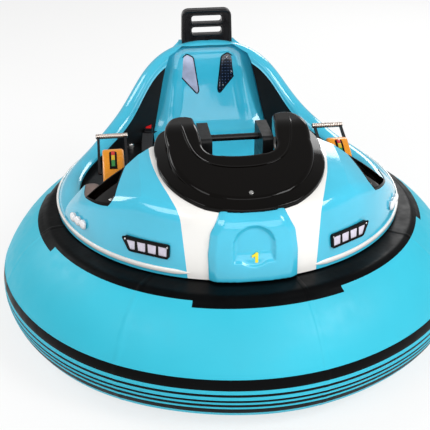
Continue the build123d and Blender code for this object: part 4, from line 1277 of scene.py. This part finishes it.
# ---------------------------------------------------------------- controls
@dataclass
class Controls:
    """Box, battery meter and ribbed grip in each side well; millimetres about the body."""

    box_x: tuple[float, float] = (393.0, 474.0)
    box_side: tuple[tuple[float, float], ...] = (
        (30.0, 470.0), (30.0, 598.0), (4.0, 604.0), (-60.0, 578.0), (-170.0, 505.0), (-190.0, 470.0))
    meter_x: float = 434.0
    surround: tuple[float, float, float] = (0.02, 0.58, 14.0)
    segment_half: float = 6.5
    segments: tuple[tuple[str, float, float, Finish], ...] = (
        ("red", 0.06, 0.22, METER_RED), ("yellow", 0.225, 0.375, METER_YELLOW),
        ("green", 0.38, 0.53, METER_GREEN))
    grip_x: tuple[float, float] = (373.0, 499.0)
    grip_y: float = 178.0
    grip_z: float = 590.0
    grip_r: float = 8.0
    ribs: int = 17

    def box(self) -> Shape:
        """The box's side outline, run across between its two faces."""
        middle = sum(self.box_x) / 2
        half = (self.box_x[1] - self.box_x[0]) / 2
        place = frame_at(body_point(middle, 0, 0), (0, 1, 0), (1, 0, 0))
        return plate(self.box_side, -half, half).placed(place)

    def top_line(self, t: np.ndarray) -> np.ndarray:
        """Points down the middle of the box's sloping top, rounded over its bend.

        Args:
            t: 0 at the top of the slope, 1 at its foot.
        Returns:
            Array (n, 2) of (y, z).
        """
        a, b, c = (np.array(p) for p in (self.box_side[2], self.box_side[3], self.box_side[4]))
        t = t[:, None]
        return (1 - t) ** 2 * (a + (0, -4)) + 2 * t * (1 - t) * (b + (8, 14)) + t ** 2 * c

    def band(self, start: float, end: float, half: float, proud: float, crown: float) -> Shape:
        """Crowned strip that lies along the sloping top.

        Args:
            start: where it starts, as a share of the slope.
            end: where it ends.
            half: half its width.
            proud: how far its edge stands over the box.
            crown: how much higher its middle is.
        Returns:
            The closed strip.
        """
        line = self.top_line(np.linspace(start, end, 24))
        ahead = np.gradient(line, axis=0)
        normal = np.column_stack([-ahead[:, 1], ahead[:, 0]])
        normal *= np.sign(normal[:, 1:2]) / np.linalg.norm(normal, axis=1, keepdims=True)
        u = np.linspace(-1, 1, 15)
        ends = np.sqrt(np.sin(np.linspace(0.08, np.pi - 0.08, 24)))
        lift = proud + crown * (1 - u[None, :] ** 2) * ends[:, None]

        def at(height: np.ndarray) -> np.ndarray:
            """Points at a height over the slope."""
            y = line[:, 0:1] + normal[:, 0:1] * height + BODY_BACK
            z = line[:, 1:2] + normal[:, 1:2] * height
            x = np.broadcast_to(self.meter_x + u[None, :] * half, y.shape)
            return np.stack([x, y, z], axis=-1) * MM

        return slab(at(lift), at(np.full_like(lift, -6.0)))

    def grip(self) -> Shape:
        """Ribbed sleeve on the grip's bar: a radius that swells between the grooves, with closed ends."""
        x = np.linspace(*self.grip_x, self.ribs * 8 + 1)
        phase = (x - x[0]) / (x[-1] - x[0]) * self.ribs
        radius = self.grip_r + 1.0 + 1.4 * np.abs(np.sin(np.pi * phase)) ** 0.5
        radius[[0, -1]] = self.grip_r * 0.6
        profile = [(0.0, x[0] - 1)] + list(zip(radius, x)) + [(0.0, x[-1] + 1)]
        place = frame_at(body_point(0, self.grip_y, self.grip_z), (0, 1, 0), (1, 0, 0))
        return turned(profile, 28).placed(place)

    def build(self, label: str, side: float) -> None:
        """Make one side's box, meter and grip.

        Args:
            label: left or right.
            side: 1 for +X, -1 for -X.
        """
        box = piece(f"control_shell_{label}", self.box().mirrored(side), AMBER, bevel=9.0)
        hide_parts(f"control_box_{label}")
        surround = self.band(*self.surround, 1.6, 1.6)
        piece(f"meter_surround_{label}", surround.mirrored(side), GLOSS_BLACK)
        for name, start, end, finish in self.segments:
            strip = self.band(start, end, self.segment_half, 3.2, 1.2)
            piece(f"meter_{name}_{label}", strip.mirrored(side), finish)
        piece(f"grip_sleeve_{label}", self.grip().mirrored(side), BRUSHED_BAR)


@dataclass
class WellPads:
    """Grained pad on the tub's ledge in each side well, and the bright bolt behind it; metres."""

    centre: tuple[float, float, float] = (0.528, 0.085, 0.416)
    half: tuple[float, float] = (0.040, 0.080)
    thick: float = 0.016
    bolt: tuple[float, float, float] = (0.360, 0.541, 0.4165)

    def pad(self) -> Shape:
        """Pillow with a superellipse outline: height thick (1 - r^6)^(1/2), pulled in at its edge.

        Returns:
            The closed pad.
        """
        round_it = np.linspace(0, 2 * np.pi, 56, endpoint=False)
        r, a = np.meshgrid(np.linspace(0, 1, 16), round_it, indexing="ij")
        c, s = np.cos(a), np.sin(a)
        x = self.half[0] * r * np.sign(c) * np.abs(c) ** 0.7
        y = self.half[1] * r * np.sign(s) * np.abs(s) ** 0.7
        z = self.thick * np.sqrt(1 - r ** 6)
        top = np.stack([x, y, z], axis=-1) + self.centre
        bottom = np.stack([x * 0.94, y * 0.94, np.full_like(z, 0.0006)], axis=-1) + self.centre
        rows, cols = r.shape
        faces = lattice(rows, cols, wrap_cols=True)
        count = rows * cols
        rim = np.arange(cols) + (rows - 1) * cols
        strip = np.stack([rim, np.roll(rim, -1), np.roll(rim, -1) + count, rim + count], axis=-1)
        faces = np.concatenate([faces, faces[:, ::-1] + count, strip])
        return Shape(np.concatenate([top.reshape(-1, 3), bottom.reshape(-1, 3)]), faces.tolist())

    def build(self) -> None:
        """Make both pads and the bolt behind each."""
        shape = self.pad()
        for label, side in SIDES:
            pad = piece(f"ledge_pad_{label}", shape.mirrored(side), PAD_VINYL)
        x, y, z = self.bolt
        bolts = [fastener(BOLT_CAP, (side * x, y, z), (0, 0, 1), 1.6) for side in (1, -1)]
        piece("ledge_bolts", joined(bolts), BRIGHT_STEEL)


# ---------------------------------------------------------------- running gear
@dataclass
class DriveWheel:
    """Tread and bolts of a drive wheel; millimetres in the car's frame."""

    radius: float = 105.0
    width: float = 58.0
    hub_radius: float = 72.0
    x: float = 335.0
    y: float = 40.0
    blocks: int = 30
    groove_deep: float = 2.4
    groove_step: float = 14.5
    slot_deep: float = 2.2
    per_block: int = 6
    twist: float = 0.03
    bolts: int = 5
    bolt_circle: float = 50.0

    def tyre(self) -> Shape:
        """Solid tyre: a closed section spun about the axle, with grooves round and across its tread.

        The radius is the tyre's own, less groove_deep in each groove round it and less slot_deep in the
        slot between two blocks. The blocks lean by twist sin(pi h / half) radians.

        Returns:
            The closed tyre about the local Z axis.
        """
        half = self.width / 2
        tread = np.linspace(-half + 7, half - 7, 33)
        groove = self.groove_deep * (np.abs(np.sin(np.pi * (tread + half) / self.groove_step)) < 0.22)
        r = np.concatenate([[self.hub_radius, self.hub_radius + 8, self.hub_radius + 20, self.radius - 7],
                            self.radius - groove, [self.radius - 7, self.hub_radius + 20, self.hub_radius + 8,
                                                   self.hub_radius]])
        h = np.concatenate([[-half, -half, -half + 1.5, -half], tread, [half, half - 1.5, half, half]])
        angle = np.linspace(0, 2 * np.pi, self.blocks * self.per_block, endpoint=False)
        slot = ((np.arange(len(angle)) % self.per_block) == 0).astype(float)
        on_tread = (np.abs(h) < half - 6.5).astype(float) * (r > self.radius - 3)
        radius = r[:, None] - self.slot_deep * slot[None, :] * on_tread[:, None]
        turn = angle[None, :] + self.twist * np.sin(np.pi * h / half)[:, None] * on_tread[:, None]
        across = np.repeat(h[:, None], len(angle), 1)
        points = np.stack([radius * np.cos(turn), radius * np.sin(turn), across], -1)
        rows, cols = points.shape[:2]
        return Shape(points.reshape(-1, 3) * MM, lattice(rows, cols, True, True).tolist())

    def build(self, label: str, side: float) -> None:
        """Make the tyre and the hub's bolts and cap.

        Args:
            label: left or right.
            side: 1 for +X, -1 for -X.
        """
        body = f"drive_wheel_{label}"
        place = frame_at((self.x * MM, self.y * MM, self.radius * MM), (0, 1, 0), (1, 0, 0))
        tyre = piece(f"drive_tread_{label}", self.tyre().placed(place).mirrored(side), RUBBER, body)
        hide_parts(f"drive_tyre_{label}")
        cap = ((0, 22), (17, 22), (17, 31), (15, 34), (9, 36), (0, 36.5))
        parts = [turned(cap, 32).placed(place)]
        r = self.bolt_circle
        for angle in np.linspace(0, 2 * np.pi, self.bolts, endpoint=False):
            local = np.array([math.cos(angle) * r, math.sin(angle) * r, 8.0]) * MM
            parts.append(fastener(BOLT_CAP, place[:3, :3] @ local + place[:3, 3], (1, 0, 0), 0.8))
        piece(f"drive_bolts_{label}", joined(parts).mirrored(side), ZINC, body)


@dataclass
class Caster:
    """Nuts, hub discs and tread ribs of a swivel caster; millimetres in the car's frame."""

    radius: float = 62.0
    width: float = 32.0
    trail: float = 40.0
    nut_out: float = 28.0
    kingpin_top: float = 178.0
    ribs: tuple[float, ...] = (-9.0, -3.0, 3.0, 9.0)
    rib_half: tuple[float, float] = (1.4, 0.7)

    def build(self, place_name: str, y: float) -> None:
        """Make one caster's pieces.

        Args:
            place_name: front or rear.
            y: its kingpin's place along the car.
        """
        axle_y = y + self.trail
        nut = ((0, -1), (10.5, -1), (10.5, 5), (9.5, 6.2), (7, 6.4), (6.6, 9), (5.4, 10), (0, 10))
        nuts = [fastener(nut, (side * self.nut_out * MM, axle_y * MM, self.radius * MM), (side, 0, 0), 0.9, 6)
                for side in (1, -1)]
        nuts.append(fastener(nut, (0, y * MM, self.kingpin_top * MM), (0, 0, 1), 1.2, 6))
        piece(f"caster_nuts_{place_name}", joined(nuts), ZINC, f"caster_{place_name}")
        disc = ((0, 0), (8, 0), (8, 2.6), (14, 2.8), (17, 0.9), (30, 0.9), (33, 2.4), (38, 2.6),
                (40, 0.4), (40, -1), (0, -1))
        half = self.width / 2
        discs = [fastener(disc, (side * half * MM, axle_y * MM, self.radius * MM), (side, 0, 0), segments=40)
                 for side in (1, -1)]
        piece(f"caster_hubs_{place_name}", joined(discs), HUB_PAINT, f"caster_wheel_{place_name}")
        rib = disc_section(*self.rib_half, 8) / MM
        axle = frame_at((0, axle_y * MM, self.radius * MM), (0, 1, 0), (1, 0, 0))
        ribs = []
        for offset in self.ribs:
            profile = np.column_stack([rib[:, 1] + self.radius - self.rib_half[1], rib[:, 0] + offset])
            ribs.append(ringed(profile).placed(axle))
        piece(f"caster_ribs_{place_name}", joined(ribs), RUBBER, f"caster_wheel_{place_name}")


@dataclass
class Underside:
    """Bolts of the frame, ribs of the motors, and the battery's terminals and straps; millimetres."""

    rail_x: float = 190.0
    rail_low: float = 178.0
    hoop_r: float = 488.0
    hoop_low: float = 179.0
    cross_y: tuple[float, float] = (-220.0, 205.0)
    motor_y: float = 40.0
    motor_z: float = 105.0
    motor_r: float = 48.0
    motor_ribs_x: tuple[float, ...] = (102.0, 112.0, 122.0, 132.0, 142.0, 152.0)
    motor_end: tuple[float, float] = (38.0, 92.0)
    battery_top: float = 390.0
    terminals: tuple[float, float, float] = (-150.0, 150.0, 290.0)
    straps_x: tuple[float, float] = (-90.0, 90.0)
    strap_line: tuple[tuple[float, float], ...] = (
        (203.6, 242.0), (203.6, 391.6), (388.4, 391.6), (388.4, 242.0))

    def frame_bolts(self) -> bpy.types.Object:
        """Bolts up through the rails, the cross members and the hoop."""
        parts = []
        for side in (1, -1):
            for y in (*self.cross_y, -300.0, 300.0):
                place = (side * self.rail_x * MM, y * MM, self.rail_low * MM)
                parts.append(fastener(BOLT_CAP, place, (0, 0, -1), 0.9, 6))
        for angle in np.radians(np.arange(22.5, 360, 45)):
            place = (math.sin(angle) * self.hoop_r * MM, math.cos(angle) * self.hoop_r * MM,
                     self.hoop_low * MM)
            parts.append(fastener(BOLT_CAP, place, (0, 0, -1), 0.8, 6))
        return piece("frame_bolts", joined(parts), ZINC)

    def motor_ribs(self, label: str, side: float) -> bpy.types.Object:
        """Cooling ribs round the motor can, and the screws of its end."""
        place = frame_at((0, self.motor_y * MM, self.motor_z * MM), (0, 1, 0), (1, 0, 0))
        parts = []
        rib = np.array([(-1.0, 0.0), (3.4, 0.6), (3.8, 1.6), (3.4, 2.6), (-1.0, 3.2)])
        for x in self.motor_ribs_x:
            parts.append(ringed(rib + (self.motor_r, x), 72).placed(place))
        circle, end = self.motor_end
        for angle in np.radians([45, 135, 225, 315]):
            local = np.array([math.cos(angle) * circle, math.sin(angle) * circle, end]) * MM
            parts.append(fastener(SCREW_HEAD, place[:3, :3] @ local + place[:3, 3], (-1, 0, 0), 0.8))
        return piece(f"motor_ribs_{label}", joined(parts).mirrored(side), MOTOR_PAINT)

    def battery_fittings(self) -> None:
        """Terminals on the battery, and two webbing straps over it."""
        post = ((0, -2), (12, -2), (12, 1), (9, 3), (8.4, 7), (7, 7.6), (0, 7.6))
        *across, y = self.terminals
        posts = [fastener(post, (x * MM, y * MM, self.battery_top * MM), (0, 0, 1), 0.9, 24) for x in across]
        piece("battery_terminals", joined(posts), BRIGHT_STEEL)
        straps = []
        for x in self.straps_x:
            loop = filled(np.array(self.strap_line), 8.0, closed=False)
            path = np.column_stack([np.full(len(loop), x), loop]) * MM
            straps.append(swept(path, disc_section(1.2, 19.0, 16, 6.0), (1, 0, 0)))
        piece("battery_straps", joined(straps), WEBBING)

    def build(self) -> None:
        """Make everything that shows from below."""
        self.frame_bolts()
        for label, side in SIDES:
            self.motor_ribs(label, side)
        self.battery_fittings()


# ---------------------------------------------------------------- studio
@dataclass
class Studio:
    """Pale floor, soft lights and the camera; metres and watts, the angles in degrees."""

    floor_half: float = 30.0
    floor_colour: str = "#F4F4F3"
    floor_glow: float = 0.72
    world: float = 0.46
    lights: tuple[tuple[str, tuple[float, float, float], float, float], ...] = (
        ("key", (3.2, -2.8, 4.0), 2.2, 145.0), ("fill", (-3.2, -2.8, 4.0), 2.2, 58.0),
        ("window", (-3.6, 1.6, 2.6), 1.6, 42.0), ("back", (2.4, 4.2, 3.0), 2.0, 72.0),
        ("front", (0.6, -5.2, 2.6), 3.6, 68.0))
    camera_at: tuple[float, float, float] = (-0.39788, -2.9115, 1.86991)
    yaw: float = -6.726
    pitch: float = 27.634
    roll: float = 0.398
    focal_px: float = 848.276
    image_px: float = 430.0
    sensor_mm: float = 36.0
    aim_z: float = 0.4

    def floor(self) -> None:
        """Large pale floor."""
        h = self.floor_half
        mesh = bpy.data.meshes.new("studio_floor")
        mesh.from_pydata([(-h, -h, 0), (h, -h, 0), (h, h, 0), (-h, h, 0)], [], [(0, 1, 2, 3)])
        mesh.materials.append(self.paper())
        thing = bpy.data.objects.new("studio_floor", mesh)
        bpy.context.scene.collection.objects.link(thing)

    def paper(self) -> bpy.types.Material:
        """Matt pale paper, mixed with white by floor_glow where it is seen, so that its shadow stays."""
        material = Finish("matt_paper_floor", self.floor_colour, 0.9, Grain.CAST, 60.0, 0.0, drift=0.004,
                          uneven=0.02).build()
        tree = material.node_tree
        rays = add(tree, "ShaderNodeLightPath")
        seen = rays.outputs["Is Camera Ray"]
        for kind in ("Is Glossy Ray", "Is Transmission Ray"):
            both = {0: seen, 1: rays.outputs[kind]}
            seen = add(tree, "ShaderNodeMath", both, operation="MAXIMUM").outputs[0]
        share = add(tree, "ShaderNodeMath", {0: seen, 1: self.floor_glow}, operation="MULTIPLY").outputs[0]
        glow = add(tree, "ShaderNodeEmission", {"Color": (1.0, 1.0, 1.0, 1.0), "Strength": 1.0}).outputs[0]
        surface = tree.nodes["Principled BSDF"].outputs[0]
        mixed = add(tree, "ShaderNodeMixShader", {0: share, 1: surface, 2: glow}).outputs[0]
        tree.links.new(mixed, tree.nodes["Material Output"].inputs["Surface"])
        return material

    def lamps(self) -> None:
        """Square area lights that all look at the car."""
        for name, place, size, power in self.lights:
            light = bpy.data.lights.new(name, "AREA")
            light.energy = power
            light.size = size
            thing = bpy.data.objects.new(name, light)
            back = np.array(place) - np.array([0, 0, self.aim_z])
            thing.matrix_world = Matrix(facing(place, back).tolist())
            bpy.context.scene.collection.objects.link(thing)
        world = bpy.data.worlds.new("studio_world")
        world.use_nodes = True
        sky = world.node_tree.nodes["Background"]
        sky.inputs["Color"].default_value = (1.0, 1.0, 1.0, 1.0)
        sky.inputs["Strength"].default_value = self.world
        bpy.context.scene.world = world

    def camera(self) -> None:
        """Camera turned by its yaw, pitch and roll."""
        yaw, pitch, roll = (math.radians(v) for v in (self.yaw, self.pitch, self.roll))
        back = np.array([math.sin(yaw) * math.cos(pitch), -math.cos(yaw) * math.cos(pitch), math.sin(pitch)])
        right = np.array([math.cos(yaw), math.sin(yaw), 0.0])
        up = np.cross(back, right)
        turned_right = math.cos(roll) * right - math.sin(roll) * up
        turned_up = math.sin(roll) * right + math.cos(roll) * up
        matrix = np.eye(4)
        matrix[:3, :3] = np.column_stack([turned_right, turned_up, back])
        matrix[:3, 3] = self.camera_at
        lens = bpy.data.cameras.new("camera")
        lens.sensor_width = self.sensor_mm
        lens.lens = self.focal_px / self.image_px * self.sensor_mm
        thing = bpy.data.objects.new("camera", lens)
        thing.matrix_world = Matrix(matrix.tolist())
        bpy.context.scene.collection.objects.link(thing)
        bpy.context.scene.camera = thing

    def build(self) -> None:
        """Make the studio."""
        bpy.context.scene.view_settings.view_transform = "Standard"
        self.camera()
        self.floor()
        self.lamps()


CASTERS_Y = (("front", -340.0), ("rear", 340.0))


def main() -> None:
    """Build every sub-assembly in order."""
    logging.basicConfig(level=logging.INFO, format="%(name)s: %(message)s")
    Studio().build()
    dress_nodes()
    BumperRing().build()
    BodyTrim().build()
    NoseFigure().build()
    SeatTrim().build()
    SeatBelt().build()
    WellPads().build()
    Underside().build()
    for label, side in SIDES:
        Headlamp().build(label, side)
        Controls().build(label, side)
        DriveWheel().build(label, side)
    for place_name, y in CASTERS_Y:
        Caster().build(place_name, y)


if __name__ == "__main__":
    main()
